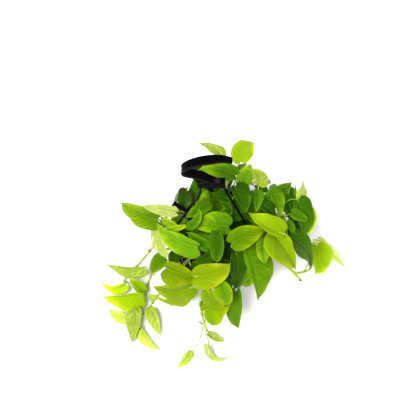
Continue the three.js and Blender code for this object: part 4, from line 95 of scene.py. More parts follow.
STEM_LEAVES = {
    "stem_center": [
        {"rib": [[-32.0, 18.5, 176.0], [-28.4, 37.0, 180.9], [-31.7, 59.9, 176.0], [-40.7, 73.4, 168.0]], "side": [-0.964, -0.181, -0.197], "half": [18.9, 9.3], "stalk": [[-14.6, -7.5, 156.4], [-22.1, 3.2, 167.0], [-32.3, 11.1, 173.1]], "r": 1.12, "kind": "deep_shade", "tone_and_shade": 0.9, "yellow": 0.5, "full": [1.0, 1.25]},
        {"rib": [[-64.7, -17.2, 174.8], [-76.0, -11.5, 172.4], [-86.5, 0.2, 166.0], [-91.8, 9.3, 160.8]], "side": [-0.099, -0.542, -0.835], "half": [10.6, 10.6], "stalk": [[-15.3, -9.8, 162.3], [-36.3, -14.0, 169.7], [-44.1, -13.2, 171.3]], "r": 1.0, "kind": "gold", "tone_and_shade": 0.4, "yellow": 0.6},
        {"rib": [[-17.5, 6.6, 210.6], [-29.7, 1.6, 208.2], [-43.2, -4.2, 198.4], [-51.0, -7.8, 189.8]], "side": [0.367, -0.929, 0.048], "half": [13.1, 8.2], "stalk": [[-16.0, -12.0, 168.0], [-16.8, -8.7, 182.4], [-9.0, 9.4, 205.1]], "r": 1.01, "kind": "mid", "tone_and_shade": 0.25, "yellow": 0.65},
        {"rib": [[14.2, 0.8, 206.0], [9.0, 4.0, 207.4], [2.2, 8.4, 206.1], [-2.3, 11.3, 204.0]], "side": [-0.537, -0.843, -0.033], "half": [5.4, 5.4], "stalk": [[-12.1, -2.8, 141.5], [-4.1, 1.4, 172.4], [22.6, -4.9, 187.1]], "r": 0.75, "kind": "deep_shade", "tone_and_shade": 0.55, "yellow": 0.55, "full": [1.15, 1.3]},
        {"rib": [[-23.3, -35.5, 188.2], [-23.1, -43.1, 183.5], [-22.5, -50.0, 173.7], [-21.9, -53.3, 166.2]], "side": [0.995, -0.041, 0.096], "half": [8.0, 8.0], "stalk": [[-12.1, -2.8, 141.5], [-16.9, -23.3, 158.2], [-19.1, -13.9, 180.8]], "r": 0.81, "kind": "mid", "tone_and_shade": 0.45, "yellow": 0.45},
        {"rib": [[-18.9, -51.5, 186.0], [-29.3, -45.3, 190.0], [-42.5, -35.0, 188.9], [-50.9, -27.5, 186.0]], "side": [-0.575, -0.763, -0.295], "half": [9.4, 7.9], "stalk": [[-15.8, -11.2, 166.0], [-13.7, -29.6, 176.4], [-10.5, -55.3, 182.5]], "r": 1.0, "kind": "mid", "tone_and_shade": 0.6, "yellow": 0.5, "full": [1.3, 1.1]},
        {"rib": [[1.5, -20.6, 149.2], [7.5, -34.6, 149.2], [18.4, -49.5, 142.0], [27.5, -57.2, 134.9]], "side": [0.831, 0.537, 0.142], "half": [15.6, 14.6], "stalk": [[-14.3, -6.8, 154.3], [-11.6, -11.4, 159.9], [0.3, -14.3, 148.6]], "r": 1.05, "kind": "deep_shade", "tone_and_shade": 0.25, "yellow": 0.1, "full": [1.3, 1.1]},
        {"rib": [[-19.3, 7.8, 120.4], [-27.8, 3.0, 126.7], [-40.3, -5.5, 129.2], [-48.4, -12.3, 128.8]], "side": [0.546, -0.832, -0.097], "half": [12.8, 12.7], "stalk": [[-7.5, 1.4, 115.3], [-12.6, 3.2, 119.0], [-17.4, 9.1, 115.6]], "r": 0.97, "kind": "mid", "tone_and_shade": 0.55, "yellow": 0.5, "full": [1.3, 1.1]},
        {"rib": [[-26.1, 64.7, 184.8], [-35.8, 74.3, 186.2], [-50.2, 83.7, 181.4], [-60.7, 88.0, 176.2]], "side": [-0.581, -0.788, 0.205], "half": [12.1, 11.8], "stalk": [[-12.6, -3.6, 144.3], [-22.0, 21.7, 163.4], [-20.1, 51.9, 161.2]], "r": 1.02, "kind": "deep_shade", "tone_and_shade": 0.05, "yellow": 0.5, "full": [1.25, 1.25]},
    ],
    "stem_left": [
        {"rib": [[-50.0, 33.6, 197.4], [-55.0, 27.1, 187.9], [-55.4, 20.9, 172.6], [-52.4, 17.1, 162.1]], "side": [0.793, -0.571, 0.213], "half": [16.9, 11.7], "stalk": [[-56.3, 2.6, 140.4], [-63.1, 11.8, 163.8], [-47.8, 61.9, 193.6]], "r": 1.0, "kind": "deep_shade", "tone_and_shade": 0.3, "yellow": 0.75, "lobe": 0.08},
        {"rib": [[-55.2, -1.4, 160.7], [-66.7, 6.5, 158.4], [-76.7, 21.1, 151.9], [-81.2, 32.0, 146.4]], "side": [-0.179, -0.501, -0.846], "half": [11.4, 11.4], "stalk": [[-45.6, 5.7, 128.2], [-41.9, 3.8, 142.1], [-46.4, -1.7, 159.4]], "r": 1.04, "kind": "lime", "tone_and_shade": 0.3, "yellow": 0.5},
        {"rib": [[-51.3, 18.0, 160.0], [-56.2, 22.0, 163.0], [-61.5, 29.5, 164.2], [-64.4, 35.1, 164.0]], "side": [-0.684, -0.382, -0.621], "half": [7.6, 9.3], "stalk": [[-59.6, 1.3, 143.4], [-59.8, 6.4, 153.6], [-46.1, 10.4, 154.0]], "r": 0.81, "kind": "deep_shade", "tone_and_shade": 0.5, "yellow": 0.75},
        {"rib": [[-60.7, -5.2, 121.4], [-59.1, 2.6, 121.0], [-58.3, 12.0, 116.5], [-58.4, 17.9, 112.2]], "side": [-0.989, 0.127, 0.081], "half": [8.5, 7.9], "stalk": [[-62.6, -0.4, 145.6], [-70.5, -10.8, 144.1], [-66.6, -15.0, 117.6]], "r": 0.89, "kind": "mid", "tone_and_shade": 0.65, "yellow": 0.5, "full": [1.15, 1.3]},
    ],
    "stem_front_left": [
        {"rib": [[-77.5, -22.6, 180.0], [-68.4, -24.3, 185.2], [-55.6, -21.4, 189.8], [-46.9, -17.8, 192.0]], "side": [-0.388, 0.432, 0.814], "half": [6.3, 6.3], "stalk": [[-39.4, -39.8, 125.7], [-52.9, -34.4, 149.4], [-85.7, -13.3, 168.6]], "r": 0.95, "kind": "gold", "tone_and_shade": 0.55, "yellow": 0.55},
        {"rib": [[-67.9, -49.5, 157.8], [-68.7, -57.6, 157.2], [-72.4, -66.5, 152.7], [-76.5, -71.5, 148.9]], "side": [0.933, -0.267, -0.239], "half": [8.9, 8.7], "stalk": [[-53.9, -58.8, 135.3], [-55.5, -60.0, 142.1], [-67.1, -40.1, 152.8]], "r": 0.89, "kind": "deep_shade", "tone_and_shade": 0.2, "yellow": 0.45, "full": [1.3, 1.1]},
        {"rib": [[-27.3, -60.7, 144.0], [-35.0, -64.9, 142.5], [-44.9, -67.2, 136.8], [-51.5, -67.0, 132.0]], "side": [0.376, -0.878, -0.296], "half": [8.0, 7.4], "stalk": [[-42.4, -43.9, 128.7], [-37.8, -48.1, 138.3], [-21.4, -57.8, 141.2]], "r": 0.91, "kind": "deep_shade", "tone_and_shade": 0.3, "yellow": 0.35, "full": [1.3, 1.1]},
    ],
    "stem_back": [
        {"rib": [[12.2, 23.9, 188.0], [1.9, 27.1, 189.8], [-11.7, 31.1, 186.3], [-20.4, 33.5, 182.0]], "side": [-0.289, -0.956, 0.045], "half": [8.5, 10.2], "stalk": [[5.8, 48.5, 139.7], [8.9, 48.4, 157.1], [18.4, 20.2, 177.7]], "r": 0.96, "kind": "deep_shade", "tone_and_shade": 0.85, "yellow": 0.35, "full": [1.25, 1.25]},
        {"rib": [[-20.5, 34.8, 176.0], [-24.1, 40.0, 176.2], [-28.5, 46.5, 173.1], [-31.2, 50.6, 170.0]], "side": [-0.82, -0.572, -0.033], "half": [7.9, 7.9], "stalk": [[8.7, 60.2, 151.8], [1.1, 57.4, 166.0], [-14.2, 28.3, 168.3]], "r": 0.75, "kind": "deep_shade", "tone_and_shade": 0.2, "yellow": 0.45, "full": [1.0, 1.25]},
        {"rib": [[-8.9, 68.1, 130.8], [3.3, 73.1, 131.4], [16.5, 82.6, 125.8], [23.4, 90.8, 120.1]], "side": [-0.533, 0.832, 0.151], "half": [13.2, 11.4], "stalk": [[4.4, 41.9, 130.8], [1.1, 48.5, 132.4], [-16.0, 63.7, 120.7]], "r": 1.01, "kind": "deep_shade", "tone_and_shade": 0.5, "yellow": 0.15, "full": [1.15, 1.3]},
        {"rib": [[59.8, 72.0, 136.0], [65.9, 67.7, 138.2], [74.3, 61.9, 136.9], [80.0, 58.3, 134.5]], "side": [0.54, 0.82, -0.189], "half": [8.8, 7.7], "stalk": [[13.2, 73.8, 158.8], [28.3, 78.1, 152.5], [48.7, 81.9, 125.0]], "r": 0.88, "kind": "mid", "tone_and_shade": 0.6, "yellow": 0.65, "full": [1.0, 1.25]},
        {"rib": [[-25.3, 33.4, 136.5], [-38.9, 29.3, 139.9], [-57.5, 24.9, 136.7], [-69.7, 22.3, 132.0]], "side": [0.253, -0.958, -0.135], "half": [16.6, 15.6], "stalk": [[3.7, 38.4, 125.3], [-7.5, 40.0, 134.0], [-14.2, 38.2, 132.1]], "r": 1.04, "kind": "deep_shade", "tone_and_shade": 0.2, "yellow": 0.35, "full": [1.15, 1.3]},
        {"rib": [[37.6, 40.0, 128.7], [30.6, 42.5, 133.3], [20.3, 46.9, 134.2], [13.7, 51.1, 132.4]], "side": [-0.313, -0.828, 0.465], "half": [9.5, 8.2], "stalk": [[3.1, 35.7, 119.9], [14.5, 42.8, 127.1], [41.9, 34.1, 113.4]], "r": 0.9, "kind": "deep_shade", "tone_and_shade": 0.6, "yellow": 0.35, "full": [1.3, 1.1]},
        {"rib": [[28.9, 81.3, 176.0], [32.4, 85.0, 177.5], [38.1, 88.9, 177.1], [42.3, 91.1, 176.0]], "side": [-0.5, 0.69, -0.524], "half": [7.9, 7.9], "stalk": [[6.3, 50.9, 142.6], [18.9, 52.3, 153.1], [24.7, 69.5, 168.4]], "r": 0.72, "kind": "lime", "tone_and_shade": 0.5, "yellow": 0.5, "full": [1.15, 1.3]},
    ],
    "stem_right": [
        {"rib": [[126.2, 18.5, 173.0], [144.5, 12.8, 160.1], [145.8, -1.6, 145.4], [131.1, -17.5, 140.2]], "side": [0.811, 0.45, -0.373], "half": [7.6, 16.6], "stalk": [[45.1, 8.9, 114.7], [81.8, -3.2, 115.5], [80.6, 32.0, 170.6]], "r": 1.07, "kind": "bright", "tone_and_shade": 0.8, "yellow": 0.5},
        {"rib": [[60.4, 13.4, 192.8], [68.9, 7.7, 191.0], [78.1, 0.7, 183.5], [83.4, -3.6, 176.8]], "side": [0.532, 0.837, -0.129], "half": [10.5, 10.5], "stalk": [[56.1, 10.0, 130.5], [49.1, 11.3, 160.8], [50.8, 18.9, 186.1]], "r": 0.95, "kind": "deep_shade", "tone_and_shade": 0.75, "yellow": 0.3, "full": [1.15, 1.3]},
        {"rib": [[54.0, 28.0, 206.3], [53.9, 17.8, 205.4], [52.4, 5.8, 199.2], [51.0, -1.4, 193.4]], "side": [0.972, 0.004, -0.233], "half": [8.4, 8.4], "stalk": [[50.2, 9.8, 122.9], [38.9, 9.8, 161.5], [42.8, 43.2, 197.3]], "r": 0.94, "kind": "mid", "tone_and_shade": 0.55, "yellow": 0.55, "full": [1.25, 1.25]},
        {"rib": [[116.3, 14.6, 172.8], [128.0, 32.9, 167.4], [132.9, 59.6, 155.5], [132.3, 77.8, 146.2]], "side": [-0.274, 0.431, 0.86], "half": [25.4, 16.2], "stalk": [[82.1, 5.6, 152.6], [92.4, 12.6, 159.7], [103.8, 7.6, 169.6]], "r": 1.2, "kind": "pale", "tone_and_shade": 0.6, "yellow": 0.4},
        {"rib": [[94.7, -17.7, 198.0], [99.5, -22.5, 196.3], [104.4, -28.0, 190.8], [107.0, -31.4, 186.0]], "side": [0.66, 0.733, -0.162], "half": [6.9, 6.9], "stalk": [[76.1, 7.1, 149.1], [67.2, -6.3, 167.7], [84.3, -6.2, 182.5]], "r": 0.76, "kind": "mid", "tone_and_shade": 0.6, "yellow": 0.4, "full": [1.3, 1.1]},
        {"rib": [[108.6, 10.0, 172.0], [110.9, 23.9, 176.9], [113.7, 43.4, 175.6], [115.4, 56.4, 172.0]], "side": [-0.988, 0.144, 0.055], "half": [3.8, 5.3], "stalk": [[78.1, 6.6, 150.3], [83.6, 21.4, 153.1], [110.1, -2.0, 160.4]], "r": 1.05, "kind": "mid", "tone_and_shade": 0.65, "yellow": 0.6, "full": [1.25, 1.25]},
        {"rib": [[41.9, -7.7, 138.7], [29.9, 0.1, 139.6], [16.0, 11.4, 133.4], [8.1, 19.5, 126.8]], "side": [-0.617, -0.786, -0.045], "half": [15.9, 15.1], "stalk": [[52.1, 9.9, 125.5], [49.2, 6.5, 135.1], [50.7, -12.8, 132.8]], "r": 1.04, "kind": "deep_shade", "tone_and_shade": 0.2, "yellow": 0.4, "full": [1.25, 1.25]},
        {"rib": [[54.6, 50.9, 154.9], [55.0, 39.0, 155.3], [51.1, 24.8, 150.7], [45.7, 16.4, 146.2]], "side": [0.947, -0.175, -0.27], "half": [12.6, 10.7], "stalk": [[60.5, 9.6, 135.4], [62.7, 19.1, 149.0], [53.5, 60.2, 143.5]], "r": 0.98, "kind": "mid", "tone_and_shade": 0.55, "yellow": 0.4, "full": [1.15, 1.3]},
        {"rib": [[115.5, -18.5, 147.0], [113.4, -4.2, 150.0], [113.1, 14.6, 146.0], [115.0, 26.8, 140.6]], "side": [-0.997, 0.0, 0.08], "half": [13.3, 12.7], "stalk": [[74.1, 7.6, 147.6], [83.9, -1.5, 156.3], [115.6, -40.8, 139.3]], "r": 1.04, "kind": "deep_shade", "tone_and_shade": 0.55, "yellow": 0.5, "full": [1.25, 1.25]},
        {"rib": [[41.5, 12.3, 167.1], [43.7, 4.8, 171.7], [47.2, -6.4, 172.9], [50.4, -14.0, 171.5]], "side": [0.888, 0.235, -0.396], "half": [9.8, 9.2], "stalk": [[48.5, 9.5, 120.2], [42.4, 12.1, 133.9], [39.6, 15.0, 158.1]], "r": 0.91, "kind": "mid", "tone_and_shade": 0.6, "yellow": 0.4, "full": [1.0, 1.25]},
        {"rib": [[109.1, 40.0, 148.1], [112.3, 52.3, 146.9], [114.0, 66.7, 138.8], [113.3, 75.6, 131.3]], "side": [-0.994, 0.098, -0.038], "half": [11.3, 10.0], "stalk": [[65.2, 9.1, 140.0], [75.6, 22.7, 141.8], [110.3, 21.1, 137.4]], "r": 1.0, "kind": "deep_shade", "tone_and_shade": 1.0, "yellow": 0.65, "full": [1.25, 1.25]},
    ],
    "stem_front_right": [
        {"rib": [[103.1, -2.7, 196.2], [111.9, -5.4, 195.4], [122.2, -8.8, 189.6], [128.3, -10.9, 184.3]], "side": [0.289, 0.956, -0.049], "half": [9.4, 9.4], "stalk": [[58.3, -41.8, 150.6], [81.8, -34.6, 161.2], [72.7, -5.3, 175.3]], "r": 0.82, "kind": "mid", "tone_and_shade": 0.5, "yellow": 0.7},
        {"rib": [[39.6, -62.2, 131.8], [40.5, -72.7, 125.8], [43.1, -81.6, 112.9], [46.7, -85.0, 102.9]], "side": [0.939, 0.342, -0.04], "half": [12.6, 19.0], "stalk": [[41.4, -31.0, 128.4], [42.5, -40.9, 133.0], [39.5, -55.0, 132.4]], "r": 1.01, "kind": "lime", "tone_and_shade": 0.4, "yellow": 0.55},
        {"rib": [[22.5, -51.5, 157.1], [25.8, -68.7, 148.1], [23.9, -86.8, 129.4], [20.4, -96.9, 114.9]], "side": [0.793, 0.395, -0.465], "half": [15.9, 15.9], "stalk": [[50.6, -37.1, 142.1], [44.8, -40.9, 155.7], [19.1, -35.0, 155.6]], "r": 1.17, "kind": "mid", "tone_and_shade": 0.25, "yellow": 0.4},
        {"rib": [[56.7, -13.3, 136.0], [65.2, -16.6, 139.1], [77.3, -15.4, 140.7], [85.2, -11.5, 141.5]], "side": [-0.143, 0.88, 0.453], "half": [8.9, 8.7], "stalk": [[44.4, -33.1, 133.2], [47.4, -27.8, 141.7], [46.6, -12.0, 132.3]], "r": 0.92, "kind": "mid", "tone_and_shade": 0.45, "yellow": 0.45, "full": [1.15, 1.3]},
    ],
    "stem_front": [
        {"rib": [[-4.2, -49.3, 159.8], [-15.5, -56.3, 158.3], [-31.8, -59.9, 152.1], [-42.8, -60.3, 146.7]], "side": [0.401, -0.478, -0.782], "half": [10.9, 10.9], "stalk": [[0.0, -60.9, 127.2], [6.2, -60.9, 139.2], [-2.7, -38.0, 152.1]], "r": 1.02, "kind": "deep_shade", "tone_and_shade": 0.65, "yellow": 0.55},
        {"rib": [[11.7, -72.9, 165.1], [3.9, -69.0, 166.1], [-3.6, -60.4, 164.9], [-7.0, -53.1, 163.8]], "side": [-0.57, -0.576, -0.585], "half": [8.7, 7.8], "stalk": [[0.0, -72.1, 130.1], [3.2, -82.6, 137.8], [18.6, -80.8, 165.6]], "r": 0.91, "kind": "deep_shade", "tone_and_shade": 0.05, "yellow": 0.2, "full": [1.0, 1.25]},
        {"rib": [[6.6, -104.7, 159.8], [6.2, -96.0, 158.8], [8.3, -86.5, 153.1], [11.9, -81.5, 148.0]], "side": [-0.974, 0.226, 0.01], "half": [9.6, 9.4], "stalk": [[0.0, -84.0, 126.6], [5.2, -94.6, 142.5], [4.6, -120.9, 150.5]], "r": 0.9, "kind": "mid", "tone_and_shade": 0.35, "yellow": 0.1, "full": [1.3, 1.1]},
    ],
    "vine_right": [
        {"rib": [[165.9, 3.3, 46.0], [172.8, -12.4, 39.6], [172.5, -27.3, 23.4], [164.8, -34.4, 10.0]], "side": [0.994, -0.087, 0.06], "half": [19.4, 13.5], "stalk": [[156.6, -23.8, 3.3], [161.9, -15.6, 18.1], [152.8, 2.4, 41.7]], "r": 1.01, "kind": "gold", "tone_and_shade": 0.55, "yellow": 0.55, "full": [0.65, 0.9]},
        {"rib": [[173.6, 20.8, 30.0], [187.9, 5.0, 32.9], [206.8, -13.1, 23.7], [220.5, -21.5, 12.0]], "side": [0.523, 0.751, -0.402], "half": [10.4, 19.8], "stalk": [[160.0, -21.3, 3.4], [164.9, -9.7, 17.8], [164.3, 20.1, 20.0]], "r": 1.22, "kind": "cream", "tone_and_shade": 0.6, "yellow": 0.5, "full": [1.1, 0.75]},
        {"rib": [[171.3, 14.2, 30.0], [166.4, 13.3, 30.4], [160.1, 12.5, 28.3], [156.2, 12.0, 26.0]], "side": [0.16, -0.984, -0.073], "half": [5.3, 5.3], "stalk": [[148.5, -27.5, 3.2], [149.6, -15.7, 15.7], [176.5, 4.8, 22.1]], "r": 0.72, "kind": "pale", "tone_and_shade": 0.75, "yellow": 0.25},
    ],
    "vine_left_a": [
        {"rib": [[-127.3, -35.1, 46.4], [-151.4, -36.4, 42.6], [-180.3, -27.6, 30.8], [-197.9, -18.1, 20.6]], "side": [0.166, -0.551, -0.818], "half": [17.8, 3.1], "stalk": [[-154.0, -28.5, 3.2], [-154.2, -36.3, 16.2], [-116.7, -25.6, 43.5]], "r": 1.29, "kind": "pale", "tone_and_shade": 0.25, "yellow": 0.4, "full": [1.3, 1.0]},
        {"rib": [[-159.5, -58.0, 25.4], [-172.7, -64.9, 13.4], [-190.7, -59.0, 5.6], [-203.5, -46.5, 8.5]], "side": [0.171, -0.549, -0.818], "half": [11.6, 8.4], "stalk": [[-164.4, -47.6, 9.0], [-160.9, -48.9, 14.5], [-156.5, -52.5, 25.7]], "r": 1.08, "kind": "bright", "tone_and_shade": 0.5, "yellow": 0.8, "full": [0.9, 0.7]},
        {"rib": [[-126.6, -67.3, 21.4], [-135.5, -60.1, 24.0], [-146.7, -50.0, 21.3], [-153.8, -43.1, 17.4]], "side": [-0.645, -0.75, -0.143], "half": [9.2, 9.2], "stalk": [[-163.8, -44.2, 7.1], [-152.9, -51.2, 14.7], [-120.1, -65.7, 9.3]], "r": 0.94, "kind": "gold", "tone_and_shade": 0.35, "yellow": 0.75},
    ],
    "vine_left_b": [
        {"rib": [[-126.4, -78.0, 34.6], [-149.4, -82.3, 37.8], [-179.4, -80.5, 30.9], [-198.3, -77.8, 20.8]], "side": [0.157, -0.541, -0.827], "half": [29.2, 7.6], "stalk": [[-124.6, -70.6, 3.2], [-125.7, -77.1, 12.4], [-125.0, -72.2, 32.3]], "r": 1.22, "kind": "bright", "tone_and_shade": 0.3, "yellow": 0.7, "lobe": 0.05},
    ],
    "vine_left_c": [
        {"rib": [[-153.8, -110.1, 12.3], [-165.0, -106.3, 14.4], [-178.8, -99.4, 11.0], [-187.6, -94.9, 6.2]], "side": [-0.252, -0.785, -0.566], "half": [15.5, 5.0], "stalk": [[-149.2, -109.2, 3.2], [-150.7, -110.0, 5.5], [-151.7, -110.8, 10.9]], "r": 1.01, "kind": "pale", "tone_and_shade": 0.5, "yellow": 0.55, "full": [0.8, 1.0]},
        {"rib": [[-138.1, -99.6, 23.8], [-141.7, -117.0, 24.3], [-142.9, -139.1, 16.3], [-142.8, -153.0, 7.8]], "side": [0.871, -0.21, 0.443], "half": [15.2, 14.2], "stalk": [[-145.1, -110.3, 3.2], [-148.2, -113.0, 7.8], [-146.8, -113.2, 19.3]], "r": 0.98, "kind": "pale", "tone_and_shade": 0.2, "yellow": 0.5, "full": [0.8, 1.0]},
        {"rib": [[-128.4, -129.4, 16.0], [-121.6, -143.3, 16.3], [-107.7, -156.8, 10.9], [-95.9, -162.9, 6.0]], "side": [0.717, 0.58, 0.387], "half": [2.0, 13.5], "stalk": [[-136.9, -108.2, 3.2], [-137.1, -118.2, 10.2], [-130.3, -121.8, 11.1]], "r": 1.04, "kind": "pale", "tone_and_shade": 0.5, "yellow": 0.65},
        {"rib": [[-112.9, -97.4, 20.0], [-105.8, -111.3, 21.6], [-98.9, -129.5, 15.2], [-96.4, -141.6, 8.0]], "side": [0.941, 0.32, 0.112], "half": [5.9, 14.5], "stalk": [[-119.6, -92.1, 3.2], [-116.9, -95.9, 9.6], [-115.3, -94.4, 18.1]], "r": 1.07, "kind": "pale", "tone_and_shade": 0.3, "yellow": 0.6, "full": [1.6, 0.95]},
        {"rib": [[-109.3, -82.4, 20.0], [-112.8, -79.6, 22.9], [-117.7, -74.9, 24.1], [-121.1, -71.5, 24.0]], "side": [-0.697, -0.7, -0.152], "half": [4.9, 4.9], "stalk": [[-114.1, -81.9, 3.2], [-114.5, -84.2, 10.4], [-107.0, -83.2, 15.5]], "r": 0.72, "kind": "pale", "tone_and_shade": 0.4, "yellow": 0.55},
    ],
    "vine_front": [
        {"rib": [[-18.1, -161.1, 32.0], [-13.6, -178.3, 9.1], [4.1, -181.8, 4.9], [23.5, -172.0, 23.0]], "side": [0.289, 0.388, 0.875], "half": [2.5, 10.7], "stalk": [[-20.6, -131.2, 3.2], [-27.7, -136.7, 13.6], [-16.7, -145.1, 35.6]], "r": 1.06, "kind": "cream", "tone_and_shade": 0.3, "yellow": 0.4, "lobe": 0.18, "full": [1.5, 2.2]},
        {"rib": [[-18.0, -138.1, 16.0], [-11.4, -146.3, 17.1], [0.0, -150.7, 14.6], [9.4, -149.0, 12.0]], "side": [0.386, 0.909, 0.159], "half": [7.4, 3.5], "stalk": [[-23.5, -125.3, 3.2], [-21.7, -127.9, 7.2], [-19.3, -134.5, 12.7]], "r": 0.8, "kind": "pale", "tone_and_shade": 0.2, "yellow": 0.4, "full": [0.6, 0.8]},
        {"rib": [[-47.4, -167.8, 9.0], [-52.8, -176.8, 10.3], [-62.6, -186.3, 7.7], [-69.9, -191.7, 4.5]], "side": [0.612, -0.454, -0.647], "half": [8.7, 8.7], "stalk": [[-26.7, -114.2, 3.2], [-28.9, -134.5, 6.0], [-33.7, -154.7, 8.0]], "r": 0.95, "kind": "pale", "tone_and_shade": 0.45, "yellow": 0.75},
        {"rib": [[-24.7, -99.6, 24.0], [-26.3, -95.0, 26.4], [-28.4, -88.0, 26.8], [-29.8, -83.2, 26.0]], "side": [-0.956, -0.283, -0.075], "half": [7.5, 6.6], "stalk": [[-26.6, -100.9, 17.1], [-26.4, -99.3, 18.6], [-24.2, -100.6, 22.5]], "r": 0.73, "kind": "gold", "tone_and_shade": 0.25, "yellow": 0.5},
    ],
}
STEMS = {
    "stem_back": {"radius": 2.1, "path": [[2.0, 30.0, 106.4], [4.0, 40.0, 128.0], [8.0, 58.0, 150.0], [14.0, 76.0, 160.0]]},
    "stem_left": {"radius": 2.1, "path": [[-34.0, 6.0, 106.4], [-44.0, 6.0, 126.0], [-58.0, 2.0, 142.0], [-63.6, -0.6, 146.2]]},
    "stem_front_left": {"radius": 2.1, "path": [[-28.0, -26.0, 106.4], [-38.0, -38.0, 124.0], [-50.0, -54.0, 134.0], [-60.0, -66.0, 136.0]]},
    "stem_front": {"radius": 2.1, "path": [[0.0, -38.0, 106.4], [0.0, -52.0, 122.0], [0.0, -70.0, 130.0], [0.0, -86.0, 126.0]]},
    "stem_center": {"radius": 2.1, "path": [[-6.0, 2.0, 106.4], [-10.0, 0.0, 130.0], [-14.0, -6.0, 152.0], [-16.0, -12.0, 168.0]]},
    "stem_right": {"radius": 2.1, "path": [[40.0, 8.0, 106.4], [54.0, 10.0, 128.0], [72.0, 8.0, 146.0], [88.0, 4.0, 156.0]]},
    "stem_front_right": {"radius": 2.1, "path": [[30.0, -22.0, 106.4], [40.0, -30.0, 126.0], [52.0, -38.0, 144.0], [62.0, -44.0, 154.0]]},
    "vine_left_a": {"radius": 1.7, "path": [[-44.0, 20.0, 106.4], [-62.0, 22.0, 122.0], [-80.0, 22.0, 131.0], [-92.0, 19.0, 118.0], [-101.0, 17.0, 84.0], [-109.0, 15.0, 42.0], [-119.4, 13.9, 9.0], [-126.6, 5.6, 3.4], [-136.6, -7.3, 3.2], [-141.5, -13.8, 3.2], [-152.2, -25.8, 3.2], [-157.7, -35.9, 3.6], [-163.1, -42.1, 6.0], [-164.4, -47.6, 9.0]]},
    "vine_left_b": {"radius": 1.7, "path": [[-46.0, -20.0, 106.4], [-66.0, -28.0, 122.0], [-84.0, -34.0, 130.0], [-95.0, -38.0, 117.0], [-104.0, -41.0, 80.0], [-110.0, -45.0, 40.0], [-113.5, -26.5, 8.0], [-119.5, -37.7, 3.4], [-122.8, -49.3, 3.2], [-125.4, -60.0, 3.2], [-124.6, -70.6, 3.2]]},
    "vine_left_c": {"radius": 1.7, "path": [[-30.0, -42.0, 106.4], [-41.0, -56.0, 121.0], [-56.0, -76.0, 131.0], [-66.0, -86.0, 114.0], [-73.0, -92.0, 74.0], [-80.0, -95.0, 34.0], [-95.9, -62.6, 6.0], [-105.3, -70.6, 3.2], [-112.6, -79.4, 3.2], [-118.1, -89.8, 3.2], [-124.5, -98.4, 3.2], [-133.4, -106.1, 3.2], [-142.4, -110.4, 3.2], [-149.2, -109.2, 3.2]]},
    "vine_front": {"radius": 1.7, "path": [[-12.0, -50.0, 106.4], [-15.0, -65.0, 121.0], [-18.0, -90.0, 129.0], [-22.0, -101.0, 112.0], [-24.0, -108.0, 74.0], [-25.0, -114.0, 34.0], [-28.3, -88.6, 5.0], [-30.3, -100.1, 3.2], [-28.2, -108.7, 3.2], [-24.0, -123.9, 3.2], [-20.1, -132.2, 3.2]]},
    "vine_right": {"radius": 1.7, "path": [[48.0, -14.0, 106.4], [66.0, -16.0, 122.0], [84.0, -16.0, 131.0], [97.0, -14.0, 116.0], [104.0, -12.0, 78.0], [108.0, -12.0, 36.0], [113.7, -13.3, 7.0], [124.1, -22.1, 3.2], [132.5, -28.5, 3.2], [141.1, -28.9, 3.2], [152.6, -26.1, 3.2], [160.0, -21.3, 3.4]]},
}
